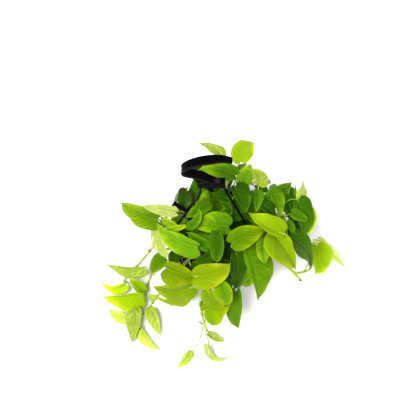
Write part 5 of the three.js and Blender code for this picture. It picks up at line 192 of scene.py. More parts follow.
# where the stalks leave each stem
STEM_JOINTS = {
    "stem_back": [[7.4, 55.7, 147.8], [14.0, 76.0, 160.0], [11.7, 69.2, 156.8], [5.8, 48.5, 139.7], [11.7, 69.2, 156.8], [9.4, 62.5, 153.3], [14.0, 76.0, 160.0], [8.7, 60.2, 151.8], [4.4, 41.9, 130.8], [13.2, 73.8, 158.8], [3.7, 38.4, 125.3], [3.1, 35.7, 119.9], [6.3, 50.9, 142.6]],
    "stem_left": [[-56.3, 2.6, 140.4], [-50.9, 4.4, 134.7], [-45.6, 5.7, 128.2], [-50.9, 4.4, 134.7], [-56.3, 2.6, 140.4], [-61.1, 0.6, 144.6], [-59.6, 1.3, 143.4], [-62.6, -0.4, 145.6]],
    "stem_front_left": [[-56.3, -61.7, 135.6], [-39.4, -39.8, 125.7], [-52.6, -57.3, 135.1], [-39.4, -39.8, 125.7], [-44.0, -46.0, 130.0], [-48.6, -52.2, 133.2], [-60.0, -66.0, 136.0], [-53.9, -58.8, 135.3], [-42.4, -43.9, 128.7]],
    "stem_front": [[0.0, -80.1, 128.0], [0.0, -82.0, 127.3], [0.0, -86.0, 126.0], [0.0, -74.1, 129.8], [0.0, -67.8, 129.6], [0.0, -60.9, 127.2], [0.0, -72.1, 130.1], [0.0, -84.0, 126.6]],
    "stem_center": [[-16.0, -12.0, 168.0], [-14.6, -7.5, 156.4], [-15.3, -9.8, 162.3], [-13.6, -5.2, 149.5], [-16.0, -12.0, 168.0], [-13.6, -5.2, 149.5], [-12.1, -2.8, 141.5], [-15.3, -9.8, 162.3], [-12.1, -2.8, 141.5], [-15.8, -11.2, 166.0], [-14.9, -8.2, 158.4], [-14.3, -6.8, 154.3], [-10.5, -0.6, 132.9], [-7.5, 1.4, 115.3], [-12.6, -3.6, 144.3]],
    "stem_right": [[62.9, 9.4, 137.7], [69.8, 8.4, 144.2], [88.0, 4.0, 156.0], [45.1, 8.9, 114.7], [76.1, 7.1, 149.1], [82.1, 5.6, 152.6], [56.1, 10.0, 130.5], [50.2, 9.8, 122.9], [72.0, 8.0, 146.0], [88.0, 4.0, 156.0], [82.1, 5.6, 152.6], [76.1, 7.1, 149.1], [69.8, 8.4, 144.2], [62.9, 9.4, 137.7], [78.1, 6.6, 150.3], [52.1, 9.9, 125.5], [60.5, 9.6, 135.4], [74.1, 7.6, 147.6], [48.5, 9.5, 120.2], [65.2, 9.1, 140.0]],
    "stem_front_right": [[54.6, -39.6, 147.1], [58.3, -41.8, 150.6], [50.6, -37.1, 142.1], [62.0, -44.0, 154.0], [58.3, -41.8, 150.6], [60.8, -43.3, 152.8], [62.0, -44.0, 154.0], [41.4, -31.0, 128.4], [50.6, -37.1, 142.1], [44.4, -33.1, 133.2]],
    "vine_left_a": [[-154.0, -28.5, 3.2], [-164.4, -47.6, 9.0], [-163.8, -44.2, 7.1]],
    "vine_left_b": [[-124.6, -70.6, 3.2]],
    "vine_left_c": [[-149.2, -109.2, 3.2], [-145.1, -110.3, 3.2], [-136.9, -108.2, 3.2], [-119.6, -92.1, 3.2], [-114.1, -81.9, 3.2]],
    "vine_front": [[-20.6, -131.2, 3.2], [-23.5, -125.3, 3.2], [-26.7, -114.2, 3.2], [-26.6, -100.9, 17.1]],
    "vine_right": [[156.6, -23.8, 3.3], [160.0, -21.3, 3.4], [148.5, -27.5, 3.2]],
}
LEAF_LOOKS = {'leaf_front_1_look': {'fold': 30},
 'leaf_front_9_look': {'fold': 17},
 'leaf_middle_4_look': {'fold': 36},
 'leaf_right_1_look': {'burn': ('tip', 1.4)},
 'leaf_top_5_look': {'at': (0.42, 0.25), 'burn': ('spot', 1.3)},
 'stem_left_leaf_1': {'burn': ('base', 1.3)},
 'stem_left_leaf_3': {'burn': ('tip', 1.3), 'from': 0.62},
 'vine_right_leaf_2': {'burn': ('tip', 1.4)}}
HOOK_PATH = [[10.5, 340.8], [3.6, 344.2], [-4.3, 345.7], [-16.5, 343.7], [-28.8, 340.0], [-38.7, 334.3], [-46.4, 327.7], [-50.9, 320.0], [-49.4, 312.9], [-43.8, 309.5], [-36.9, 306.8], [-29.2, 302.5], [-21.5, 296.5], [-13.7, 289.8], [-6.4, 283.6]]
ARM_PATHS = {
    "arm_left": [[-29.0, 0.4, 276.2], [-29.4, 0.8, 263.5], [-31.0, 0.9, 251.0], [-34.3, 0.7, 238.7], [-38.2, 1.3, 226.7], [-42.7, 1.8, 214.8], [-47.5, 1.9, 203.1], [-51.3, 1.3, 191.0], [-55.6, 0.3, 179.1], [-61.0, -1.0, 167.7], [-66.2, -2.9, 156.3], [-71.0, -5.7, 144.9], [-75.0, -9.5, 133.5], [-78.3, -13.8, 122.0]],
    "arm_right": [[0.0, 1.7, 277.4], [3.5, 1.1, 264.0], [7.6, 1.1, 250.9], [13.2, -2.4, 238.8], [19.7, -7.1, 227.4], [25.5, -10.8, 215.4], [31.8, -17.7, 205.4], [38.3, -24.9, 195.5], [44.8, -31.9, 185.5], [50.3, -38.2, 174.4], [53.7, -42.9, 161.9], [55.8, -46.6, 148.7], [57.4, -49.8, 135.3], [59.1, -53.2, 122.0]],
    "arm_back": [[0.8, 6.0, 278.0], [2.7, 7.1, 260.7], [6.8, 10.6, 244.2], [11.1, 17.8, 228.9], [15.3, 25.9, 214.0], [19.7, 33.5, 198.8], [24.1, 40.4, 183.3], [27.1, 49.2, 168.5], [29.4, 58.4, 153.8], [31.0, 65.8, 138.1], [32.3, 72.6, 122.0]],
}
ARM_TAILS = {"arm_left": {"width": 5.2, "thick": 2.6, "path": [[-50.5, 1.5, 193.9], [-59.5, 7.6, 194.9], [-69.5, 13.9, 195.9]]}}
SHOOTS = {"vine_right": {"radius": 2.3, "path": [[122.5, -19.5, 3.6], [132.3, -31.5, 2.8], [141.9, -43.7, 2.6]]}}

# stubs and aerial roots on the vines, and the loose tail on one hanger arm
ROOTS = {"vine_left_a": [{"radius": 1.25, "path": [[-120.7, 8.7, 7.4], [-123.4, 10.5, 9.5], [-125.8, 16.1, 11.0]]}], "vine_front": [{"radius": 1.15, "path": [[-26.6, -119.2, 3.4], [-30.7, -117.8, 4.6], [-36.4, -113.5, 3.4]]}]}
WORLD = 0.54
LIGHTS = [
    ("key", (-0.6, -0.8, 2.1), (0, 0, 0.1), 0.9, 92.0),
    ("fill", (1.3, 0.3, 1.6), (0, 0, 0.1), 1.8, 9.0),
]


# ---------------------------------------------------------------- camera, in the photo's frame
CAM_POS = (-0.01895, -0.34596, 0.94971)
CAM_PITCH = 65.0          # degrees the view looks down
CAM_FOCAL = 570.0 / 416.0 * 36.0

cam_data = bpy.data.cameras.new("camera")
cam_data.sensor_width = 36.0
cam_data.lens = CAM_FOCAL
cam_data.clip_start = 0.01
cam_data.clip_end = 60.0
cam = bpy.data.objects.new("camera", cam_data)
bpy.context.scene.collection.objects.link(cam)
e = math.radians(CAM_PITCH)
look = Vector((0, math.cos(e), -math.sin(e)))
up = Vector((0, math.sin(e), math.cos(e)))
rot = Matrix((Vector((1, 0, 0)), up, -look)).transposed()
cam.matrix_world = Matrix.Translation(Vector(CAM_POS)) @ rot.to_4x4()
bpy.context.scene.camera = cam


# ---------------------------------------------------------------- small helpers
def rng_of(name):
    return np.random.default_rng(sum((i + 7) * ord(c) * 31 for i, c in enumerate(name)) % (2 ** 31))


def unit(v):
    v = np.asarray(v, float)
    return v / max(np.linalg.norm(v), 1e-12)


def catmull(points, n=16):
    P = np.array(points, float)
    Q = np.vstack([2 * P[0] - P[1], P, 2 * P[-1] - P[-2]])
    out = []
    for i in range(1, len(Q) - 2):
        for t in np.linspace(0, 1, n, endpoint=False):
            out.append(0.5 * ((2 * Q[i]) + (-Q[i - 1] + Q[i + 1]) * t
                              + (2 * Q[i - 1] - 5 * Q[i] + 4 * Q[i + 1] - Q[i + 2]) * t * t
                              + (-Q[i - 1] + 3 * Q[i] - 3 * Q[i + 1] + Q[i + 2]) * t ** 3))
    out.append(P[-1])
    return np.array(out)


def resample(path, n):
    s = np.concatenate([[0], np.cumsum(np.linalg.norm(np.diff(path, axis=0), axis=1))])
    q = np.linspace(0, s[-1], n)
    return np.stack([np.interp(q, s, path[:, i]) for i in range(3)], 1), s[-1]


def bezier(P, t):
    t = np.asarray(t, float)[:, None]
    return (1 - t) ** 3 * P[0] + 3 * (1 - t) ** 2 * t * P[1] + 3 * (1 - t) * t * t * P[2] + t ** 3 * P[3]


def bezier_tangent(P, t):
    t = np.asarray(t, float)[:, None]
    d = 3 * (1 - t) ** 2 * (P[1] - P[0]) + 6 * (1 - t) * t * (P[2] - P[1]) + 3 * t * t * (P[3] - P[2])
    return d / np.maximum(np.linalg.norm(d, axis=1, keepdims=True), 1e-9)


OUTLINE_AT = np.array([0, .05, .12, .22, .34, .48, .62, .75, .86, .94, 1.0])
OUTLINE = np.array([.50, .74, .92, 1.0, .985, .87, .68, .46, .245, .10, 0.0])


def outline(u):
    """Half width along the midrib, of the widest half width."""
    x, xs, ys = np.asarray(u, float), OUTLINE_AT, OUTLINE
    n = len(xs)
    m = np.zeros(n)
    m[0] = (ys[1] - ys[0]) / (xs[1] - xs[0])
    m[-1] = (ys[-1] - ys[-2]) / (xs[-1] - xs[-2])
    m[1:-1] = (ys[2:] - ys[:-2]) / (xs[2:] - xs[:-2])
    j = np.clip(np.searchsorted(xs, x, side="right") - 1, 0, n - 2)
    h = xs[j + 1] - xs[j]
    t = (x - xs[j]) / h
    return np.maximum((2 * t ** 3 - 3 * t ** 2 + 1) * ys[j] + (t ** 3 - 2 * t ** 2 + t) * h * m[j]
                      + (-2 * t ** 3 + 3 * t ** 2) * ys[j + 1] + (t ** 3 - t ** 2) * h * m[j + 1], 0)


class Build:
    """Collects vertices, faces, UVs, a material index per face and a tint per vertex, in mm."""

    def __init__(self):
        self.v, self.f, self.uv, self.mi, self.tint = [], [], [], [], []
        self.n = 0

    def add(self, verts, faces, uv, mat, tint):
        verts = np.asarray(verts, float).reshape(-1, 3)
        base = self.n
        self.v.append(verts)
        self.f += [tuple(base + i for i in f) for f in faces]
        self.uv.append(np.asarray(uv, float).reshape(-1, 2))
        self.mi += list(mat) if hasattr(mat, "__len__") else [mat] * len(faces)
        t = np.asarray(tint, float)
        self.tint.append(np.broadcast_to(t, (len(verts), 3)) if t.ndim == 1 else t)
        self.n += len(verts)
        return base

    def object(self, name, materials, smooth=True):
        v = np.vstack(self.v) * MM
        uv = np.vstack(self.uv)
        tint = np.vstack(self.tint)
        me = bpy.data.meshes.new(name)
        me.from_pydata(v.tolist(), [], self.f)
        for m in materials:
            me.materials.append(m)
        me.polygons.foreach_set("material_index", np.array(self.mi, np.int32))
        me.polygons.foreach_set("use_smooth", np.full(len(self.f), smooth))
        loops = np.zeros(len(me.loops), np.int32)
        me.loops.foreach_get("vertex_index", loops)
        # the tint travels in two more UV maps: tone, partly painted shade and light, and yellowness, then burn
        for layer, values in (("UVMap", uv), ("vary", tint[:, :2]), ("mark", np.stack([tint[:, 2], tint[:, 2] * 0], 1))):
            me.uv_layers.new(name=layer).data.foreach_set("uv", values[loops].astype(np.float32).ravel())
        me.uv_layers["UVMap"].active_render = True
        me.update()
        o = bpy.data.objects.new(name, me)
        bpy.context.scene.collection.objects.link(o)
        return o


def tube(b, path, radii, corners, mat, tint, cap=(True, True), squash=None, uv_scale=0.05):
    """A round tube along path (mm). radii: one per point. Ends are domed when capped."""
    P = np.asarray(path, float)
    n = len(P)
    radii = np.broadcast_to(np.asarray(radii, float), (n,)).copy()
    T = np.gradient(P, axis=0)
    T /= np.maximum(np.linalg.norm(T, axis=1, keepdims=True), 1e-9)
    ref = np.array([0, 0, 1.0]) if abs(T[0][2]) < 0.9 else np.array([1.0, 0, 0])
    S = unit(ref - ref @ T[0] * T[0])
    sides = []
    for k in range(n):
        S = unit(S - S @ T[k] * T[k])
        sides.append(S)
    sides = np.array(sides)
    ups = np.cross(T, sides)
    a = np.linspace(0, 2 * np.pi, corners, endpoint=False)
    ca, sa = np.cos(a), np.sin(a)
    verts = P[:, None] + (sides[:, None] * ca[None, :, None] + ups[:, None] * sa[None, :, None] * (squash or 1)) * radii[:, None, None]
    s = np.concatenate([[0], np.cumsum(np.linalg.norm(np.diff(P, axis=0), axis=1))])
    uv = np.stack(np.broadcast_arrays(s[:, None] * uv_scale, np.arange(corners)[None] / corners), -1)
    faces = []
    for k in range(n - 1):
        for j in range(corners):
            j2 = (j + 1) % corners
            faces.append((k * corners + j, k * corners + j2, (k + 1) * corners + j2, (k + 1) * corners + j))
    V = verts.reshape(-1, 3)
    U = uv.reshape(-1, 2)
    tint = np.asarray(tint, float)
    TT = np.broadcast_to(tint, (n, 3)) if tint.ndim == 1 else tint
    TT = np.repeat(TT, corners, axis=0)
    extra, eu, et = [], [], []
    for end, flag in ((0, cap[0]), (n - 1, cap[1])):
        if not flag:
            continue
        sign = -1 if end == 0 else 1
        tip = len(V) + len(extra)
        extra.append(P[end] + T[end] * sign * radii[end] * 0.45)
        eu.append(uv[end, 0])
        et.append(TT[end * corners])
        for j in range(corners):
            j2 = (j + 1) % corners
            f = (end * corners + j, end * corners + j2, tip)
            faces.append(f if sign == 1 else f[::-1])
    if extra:
        V = np.vstack([V, extra]); U = np.vstack([U, eu]); TT = np.vstack([TT, et])
    b.add(V, faces, U, mat, TT)


# ---------------------------------------------------------------- materials
class Nodes:
    """A short way to write a node tree."""

    def __init__(self, name):
        self.mat = bpy.data.materials.new(name)
        self.mat.use_nodes = True
        self.t = self.mat.node_tree
        self.t.nodes.clear()
        self.out = self.t.nodes.new("ShaderNodeOutputMaterial")
        self.p = self.t.nodes.new("ShaderNodeBsdfPrincipled")
        self.t.links.new(self.p.outputs[0], self.out.inputs[0])

    def put(self, node, key, value):
        s = node.inputs[key]
        if isinstance(value, bpy.types.NodeSocket):
            self.t.links.new(value, s)
        else:
            s.default_value = value

    def math(self, op, a, b=None, c=None, clamp=False):
        n = self.t.nodes.new("ShaderNodeMath")
        n.operation = op
        n.use_clamp = clamp
        for i, x in enumerate((a, b, c)):
            if x is not None:
                self.put(n, i, x)
        return n.outputs[0]

    def mix(self, fac, a, b, blend="MIX"):
        n = self.t.nodes.new("ShaderNodeMix")
        n.data_type = "RGBA"
        n.blend_type = blend
        n.clamp_factor = True
        self.put(n, 0, fac)
        for key, x in ((6, a), (7, b)):
            self.put(n, key, x if isinstance(x, bpy.types.NodeSocket) else (*x, 1) if len(x) == 3 else x)
        return n.outputs[2]

    def noise(self, vector, scale, detail=3.0, rough=0.5, distort=0.0, dims="3D"):
        n = self.t.nodes.new("ShaderNodeTexNoise")
        n.noise_dimensions = dims
        if vector is not None:
            self.t.links.new(vector, n.inputs["Vector"])
        n.inputs["Scale"].default_value = scale
        n.inputs["Detail"].default_value = detail
        n.inputs["Roughness"].default_value = rough
        n.inputs["Distortion"].default_value = distort
        return n.outputs["Fac"]

    def voronoi(self, vector, scale, feature="F1", out="Distance"):
        n = self.t.nodes.new("ShaderNodeTexVoronoi")
        n.feature = feature
        self.t.links.new(vector, n.inputs["Vector"])
        n.inputs["Scale"].default_value = scale
        return n.outputs[out]

    def range(self, x, lo, hi, a=0.0, b=1.0, smooth=True):
        n = self.t.nodes.new("ShaderNodeMapRange")
        n.interpolation_type = "SMOOTHSTEP" if smooth else "LINEAR"
        n.clamp = True
        for key, v in ((0, x), (1, lo), (2, hi), (3, a), (4, b)):
            self.put(n, key, v)
        return n.outputs[0]

    def coord(self, which="Object"):
        return self.t.nodes.new("ShaderNodeTexCoord").outputs[which]

    def split(self, vector):
        n = self.t.nodes.new("ShaderNodeSeparateXYZ")
        self.t.links.new(vector, n.inputs[0])
        return n.outputs

    def join(self, x, y, z):
        n = self.t.nodes.new("ShaderNodeCombineXYZ")
        for i, v in enumerate((x, y, z)):
            self.put(n, i, v)
        return n.outputs[0]

    def attribute(self):
        """Tone, partly painted shade and light, then yellowness and burn."""
        out = []
        for name in ("vary", "mark"):
            n = self.t.nodes.new("ShaderNodeUVMap")
            n.uv_map = name
            out += self.split(n.outputs[0])[:2]
        return out[:3]

    def hsv(self, color, hue, sat, val):
        n = self.t.nodes.new("ShaderNodeHueSaturation")
        self.put(n, "Hue", hue); self.put(n, "Saturation", sat); self.put(n, "Value", val)
        self.put(n, "Color", color)
        return n.outputs[0]

    def bump(self, height, strength, distance, normal=None):
        n = self.t.nodes.new("ShaderNodeBump")
        n.inputs["Strength"].default_value = strength
        n.inputs["Distance"].default_value = distance
        self.t.links.new(height, n.inputs["Height"])
        if normal is not None:
            self.t.links.new(normal, n.inputs["Normal"])
        return n.outputs[0]

    def finish(self, color=None, rough=None, normal=None, **fixed):
        if color is not None:
            self.put(self.p, "Base Color", color if isinstance(color, bpy.types.NodeSocket) else (*color, 1))
        if rough is not None:
            self.put(self.p, "Roughness", rough)
        if normal is not None:
            self.t.links.new(normal, self.p.inputs["Normal"])
        for k, v in fixed.items():
            self.p.inputs[k].default_value = v
        return self.mat


def leaf_material(name, deep_shade, body, light, streaks, rim, shine, under=False):
    """The first three colours run from the blade's base, darkened as painted shade, through its body to its young edge.
    streaks: how much pale variegation runs along the side veins. rim: how far the thin margin lightens, partly its own
    paler margin and partly a painted highlight where the edge catches light. shine: level of its satin gloss.
    """
    m = Nodes(name)
    uv = m.split(m.coord("UV"))
    u, v = uv[0], m.math("MULTIPLY_ADD", uv[1], 2.0, -1.0)
    side = m.math("GREATER_THAN", v, 0.0)
    av = m.math("ABSOLUTE", v)
    obj = m.coord("Object")
    tint = m.attribute()
    wob = m.noise(obj, 60.0, 2.0)
    # side veins leave the midrib and sweep towards the tip
    bend = m.math("MULTIPLY", m.math("POWER", av, 1.25), 0.33)
    phase = m.math("SUBTRACT", u, bend)
    phase = m.math("MULTIPLY_ADD", phase, 9.0, m.math("MULTIPLY", side, 0.5))
    phase = m.math("MULTIPLY_ADD", wob, 0.55, phase)
    saw = m.math("PINGPONG", phase, 0.5)
    vein = m.range(saw, 0.0, 0.085, 1.0, 0.0)
    vein = m.math("MULTIPLY", vein, m.range(av, 0.45, 0.95, 1.0, 0.0))
    fine = m.math("PINGPONG", m.math("MULTIPLY_ADD", phase, 4.0, m.math("MULTIPLY", wob, 1.6)), 0.5)
    fine = m.range(fine, 0.0, 0.16, 1.0, 0.0)
    mid = m.range(av, 0.012, 0.055, 1.0, 0.0)
    # streaks and variegation: noise drawn out along the side veins
    seed = m.math("MULTIPLY_ADD", tint[0], 9.0, m.math("MULTIPLY", tint[1], 5.0))
    sv = m.join(m.math("MULTIPLY", phase, 1.1), m.math("MULTIPLY", av, 1.1), seed)
    broad = m.noise(sv, 1.9, 3.0, 0.6)
    streak = m.range(broad, 0.50, 0.66)
    brush = m.noise(m.join(m.math("MULTIPLY", phase, 2.6), m.math("MULTIPLY", av, 0.7), seed), 1.7, 4.0, 0.62)
    cloud = m.noise(obj, 24.0, 3.0, 0.55)
    # painted shade: this mask darkens the blade towards its base; towards its edges and tip it lightens to the young
    # colour
    base_shade_to_young = m.math("MULTIPLY_ADD", u, 0.72, m.math("MULTIPLY", m.math("POWER", av, 2.0), 0.34))
    base_shade_to_young = m.math("ADD", base_shade_to_young, m.math("MULTIPLY_ADD", cloud, 1.10, -0.60))
    base_shade_to_young = m.math("ADD", base_shade_to_young, m.math("MULTIPLY_ADD", brush, 1.40, -0.75))
    base_shade_to_young = m.math("ADD", base_shade_to_young, m.math("MULTIPLY_ADD", tint[1], 1.0, -0.45), clamp=True)
    col = m.mix(base_shade_to_young, deep_shade, body)
    col = m.mix(m.range(base_shade_to_young, 0.50, 1.0), col, light)
    pale = tuple(min(1.0, c * 1.25 + p) for c, p in zip(light, (0.10, 0.09, 0.05)))
    col = m.mix(m.math("MULTIPLY", streak, streaks), col, pale)
    # painted shade: the blade is painted a deeper green beside its midrib, where the fold lies in shade
    midrib_shade = m.math("MULTIPLY", m.range(av, 0.05, 0.42, 1.0, 0.0), m.range(u, 0.15, 0.9, 1.0, 0.3))
    col = m.mix(m.math("MULTIPLY", midrib_shade, 0.44), col, deep_shade)
    veincol = tuple(min(1.0, c * 1.15 + 0.01) for c in light)
    col = m.mix(m.math("MULTIPLY", vein, 0.22 if not under else 0.40), col, veincol)
    col = m.mix(m.math("MULTIPLY", fine, 0.09), col, veincol)
    col = m.mix(m.math("MULTIPLY", mid, 0.26 if not under else 0.5), col, veincol)
    # painted highlight: the thin margin is lightened where the curled edge catches light, partly its own paler margin;
    # weaker on the shaded kinds
    edge = m.range(av, 0.88, 1.0)
    col = m.mix(m.math("MULTIPLY", edge, rim), col, light)
    # brown, where the tint says that the blade is burnt
    burn = m.math("ADD", tint[2], m.math("MULTIPLY_ADD", m.noise(obj, 190.0, 3.0), 0.9, -0.45))
    burn = m.math("MULTIPLY", m.range(burn, 0.42, 0.62), m.math("GREATER_THAN", tint[2], 0.02))
    col = m.mix(burn, col, m.mix(cloud, (0.020, 0.010, 0.006), (0.11, 0.05, 0.018)))
    # painted shade and light: the value follows each leaf's tone, partly its own shade of green and partly set to
    # darken leaves that sit in shade and lighten lit ones
    value = m.math("MULTIPLY_ADD", tint[0], 1.10, 0.45)
    col = m.hsv(col, 0.5, 1.0, value)
    if under:
        col = m.mix(0.10, col, (0.42, 0.52, 0.10))
    height = m.math("ADD", m.math("MULTIPLY", vein, -0.55 if not under else 0.9), m.math("MULTIPLY", fine, -0.12))
    height = m.math("ADD", height, m.math("MULTIPLY", m.noise(obj, 900.0, 2.0), 0.28))
    height = m.math("ADD", height, m.math("MULTIPLY", m.noise(obj, 140.0, 3.0), 0.7))
    normal = m.bump(height, 0.60, 0.0009)
    rough = m.math("MULTIPLY_ADD", m.noise(obj, 95.0, 3.0), 0.16, 0.33 if not under else 0.52)
    mat = m.finish(col, rough, normal, **{"Specular IOR Level": shine if not under else shine * 0.6, "Specular Tint": (0.80, 1.0, 0.12, 1.0)})
    # light that comes through the thin blade
    through = m.t.nodes.new("ShaderNodeBsdfTranslucent")
    glow = m.mix(0.5, col, light, "MIX")
    m.t.links.new(glow, through.inputs["Color"])
    m.t.links.new(normal, through.inputs["Normal"])
    blend = m.t.nodes.new("ShaderNodeMixShader")
    blend.inputs[0].default_value = 0.18
    m.t.links.new(m.p.outputs[0], blend.inputs[1])
    m.t.links.new(through.outputs[0], blend.inputs[2])
    m.t.links.new(blend.outputs[0], m.out.inputs[0])
    return mat


def stem_material(name, a, b, brown):
    m = Nodes(name)
    obj = m.coord("Object")
    uv = m.split(m.coord("UV"))
    tint = m.attribute()
    lines = m.noise(m.join(m.math("MULTIPLY", uv[0], 2.0), m.math("MULTIPLY", uv[1], 22.0), 0.0), 1.0, 3.0)
    cloud = m.noise(obj, 42.0, 3.0)
    col = m.mix(m.range(cloud, 0.35, 0.68), a, b)
    col = m.mix(m.math("MULTIPLY", m.range(lines, 0.45, 0.7), 0.25), col, tuple(c * 1.25 for c in b))
    spots = m.range(m.voronoi(obj, 420.0), 0.0, 0.22, 1.0, 0.0)
    col = m.mix(m.math("MULTIPLY", spots, 0.10), col, brown)
    burn = m.math("ADD", tint[2], m.math("MULTIPLY_ADD", m.noise(obj, 300.0, 3.0), 0.8, -0.4))
    burn = m.math("MULTIPLY", m.range(burn, 0.35, 0.6), m.math("GREATER_THAN", tint[2], 0.02))
    col = m.mix(burn, col, brown)
    # on leaf stalks the value follows the leaf's tone, partly painted shade and light; on stems it is their own tone,
    # darker at the nodes
    col = m.hsv(col, 0.5, 1.0, m.math("MULTIPLY_ADD", tint[0], 0.3, 0.85))
    h = m.math("ADD", m.math("MULTIPLY", lines, 0.6), m.math("MULTIPLY", m.noise(obj, 600.0, 2.0), 0.4))
    return m.finish(col, m.math("MULTIPLY_ADD", cloud, 0.15, 0.36), m.bump(h, 0.25, 0.0004), **{"Specular IOR Level": 0.2})


def plastic_material(name, color, rough, grain=0.25, dust=0.08, shine=0.4):
    m = Nodes(name)
    obj = m.coord("Object")
    cloud = m.noise(obj, 22.0, 4.0, 0.6)
    fine = m.noise(obj, 1500.0, 2.0)
    scuff = m.range(m.noise(obj, 75.0, 5.0, 0.7, 0.6), 0.60, 0.78)
    geo = m.t.nodes.new("ShaderNodeNewGeometry")
    # convex edges are lightened, partly rubbed plastic and partly a painted highlight along the edges
    edge_wear_and_highlight = m.range(geo.outputs["Pointiness"], 0.53, 0.60)
    col = m.mix(m.range(cloud, 0.3, 0.75), tuple(c * 0.8 for c in color), tuple(c * 1.35 for c in color))
    col = m.mix(m.math("MULTIPLY", scuff, dust), col, (0.10, 0.095, 0.085))
    col = m.mix(m.math("MULTIPLY", edge_wear_and_highlight, 0.20), col, (0.045, 0.045, 0.048))
    height = m.math("ADD", m.math("MULTIPLY", fine, 0.5), m.math("MULTIPLY", cloud, 0.5))
    r = m.math("MULTIPLY_ADD", cloud, 0.18, rough - 0.09)
    r = m.math("ADD", r, m.math("MULTIPLY", scuff, 0.12))
    return m.finish(col, r, m.bump(height, grain, 0.0004), **{"Specular IOR Level": shine})


def soil_material(name):
    m = Nodes(name)
    obj = m.coord("Object")
    tint = m.attribute()
    n1 = m.noise(obj, 120.0, 6.0, 0.65)
    n2 = m.voronoi(obj, 260.0)
    col = m.mix(m.range(n1, 0.35, 0.65), (0.012, 0.008, 0.005), (0.065, 0.040, 0.022))
    col = m.mix(m.range(n2, 0.0, 0.3, 1.0, 0.0), col, (0.10, 0.062, 0.035))
    col = m.mix(m.math("MULTIPLY", m.range(m.noise(obj, 55.0, 3.0), 0.55, 0.75), 0.5), col, (0.028, 0.030, 0.012))
    col = m.mix(tint[1], col, (0.62, 0.60, 0.54))
    col = m.mix(tint[2], col, (0.11, 0.055, 0.025))
    h = m.math("ADD", m.math("MULTIPLY", n1, 1.0), m.math("MULTIPLY", n2, -0.5))
    return m.finish(col, 0.93, m.bump(h, 0.8, 0.0015), **{"Specular IOR Level": 0.25})


# painted light and shade: bright, gold, lime, mid and deep are one neon green in lit and shaded copies. They are partly
# leaf age, partly painted light on lit leaves and partly painted shade on leaves in the crown's shade. pale and cream
# are the leaves' real variegation.
#                      shaded base           body                  young edge           variegation
LEAF_KINDS = {
    "bright": ((0.250, 0.430, 0.0015), (0.430, 0.600, 0.0030), (0.640, 0.740, 0.0120), 0.08),
    "gold":   ((0.155, 0.310, 0.0010), (0.300, 0.460, 0.0015), (0.500, 0.620, 0.0050), 0.08),
    "lime":   ((0.070, 0.200, 0.0010), (0.170, 0.340, 0.0012), (0.330, 0.500, 0.0030), 0.06),
    "mid":    ((0.030, 0.118, 0.0008), (0.080, 0.210, 0.0010), (0.185, 0.350, 0.0020), 0.04),
    "deep_shade":   ((0.012, 0.058, 0.0006), (0.030, 0.105, 0.0008), (0.085, 0.200, 0.0015), 0.02),
    "pale":   ((0.300, 0.430, 0.030), (0.460, 0.580, 0.060), (0.640, 0.740, 0.130), 0.55),
    "cream":  ((0.400, 0.520, 0.080), (0.600, 0.690, 0.170), (0.780, 0.820, 0.330), 0.75),
}
MATS = {}
for k, (a, b_, c, s) in LEAF_KINDS.items():
    rim = 0.16 if k in ("mid", "deep_shade", "lime") else 0.28
    shine = 0.06 if k in ("mid", "deep_shade", "lime") else 0.11
    MATS[k] = (leaf_material("leaf_%s_top" % k, a, b_, c, s, rim, shine), leaf_material("leaf_%s_under" % k, a, b_, c, s * 0.6, rim, shine, True))
STALK = stem_material("leaf_stalk", (0.22, 0.36, 0.006), (0.38, 0.50, 0.020), (0.09, 0.05, 0.02))
# painted shade: a darker copy of the stalk material, for stalks under the shaded leaf kinds
STALK_SHADED = stem_material("leaf_stalk_shaded", (0.055, 0.150, 0.002), (0.120, 0.250, 0.004), (0.05, 0.03, 0.012))
STEM = stem_material("stem_green", (0.15, 0.26, 0.010), (0.32, 0.42, 0.040), (0.08, 0.045, 0.018))
ROOT = stem_material("aerial_root", (0.022, 0.014, 0.008), (0.060, 0.035, 0.020), (0.02, 0.012, 0.008))
PLASTIC = plastic_material("hanger_plastic", (0.0010, 0.0010, 0.0011), 0.36, 0.25, 0.01, 0.03)
POT_MAT = plastic_material("pot_plastic", (0.0045, 0.0046, 0.0048), 0.46, 0.35, 0.10, 0.30)
SOIL_MAT = soil_material("potting_mix")


# ---------------------------------------------------------------- leaves
NU, NV = (46, 25)


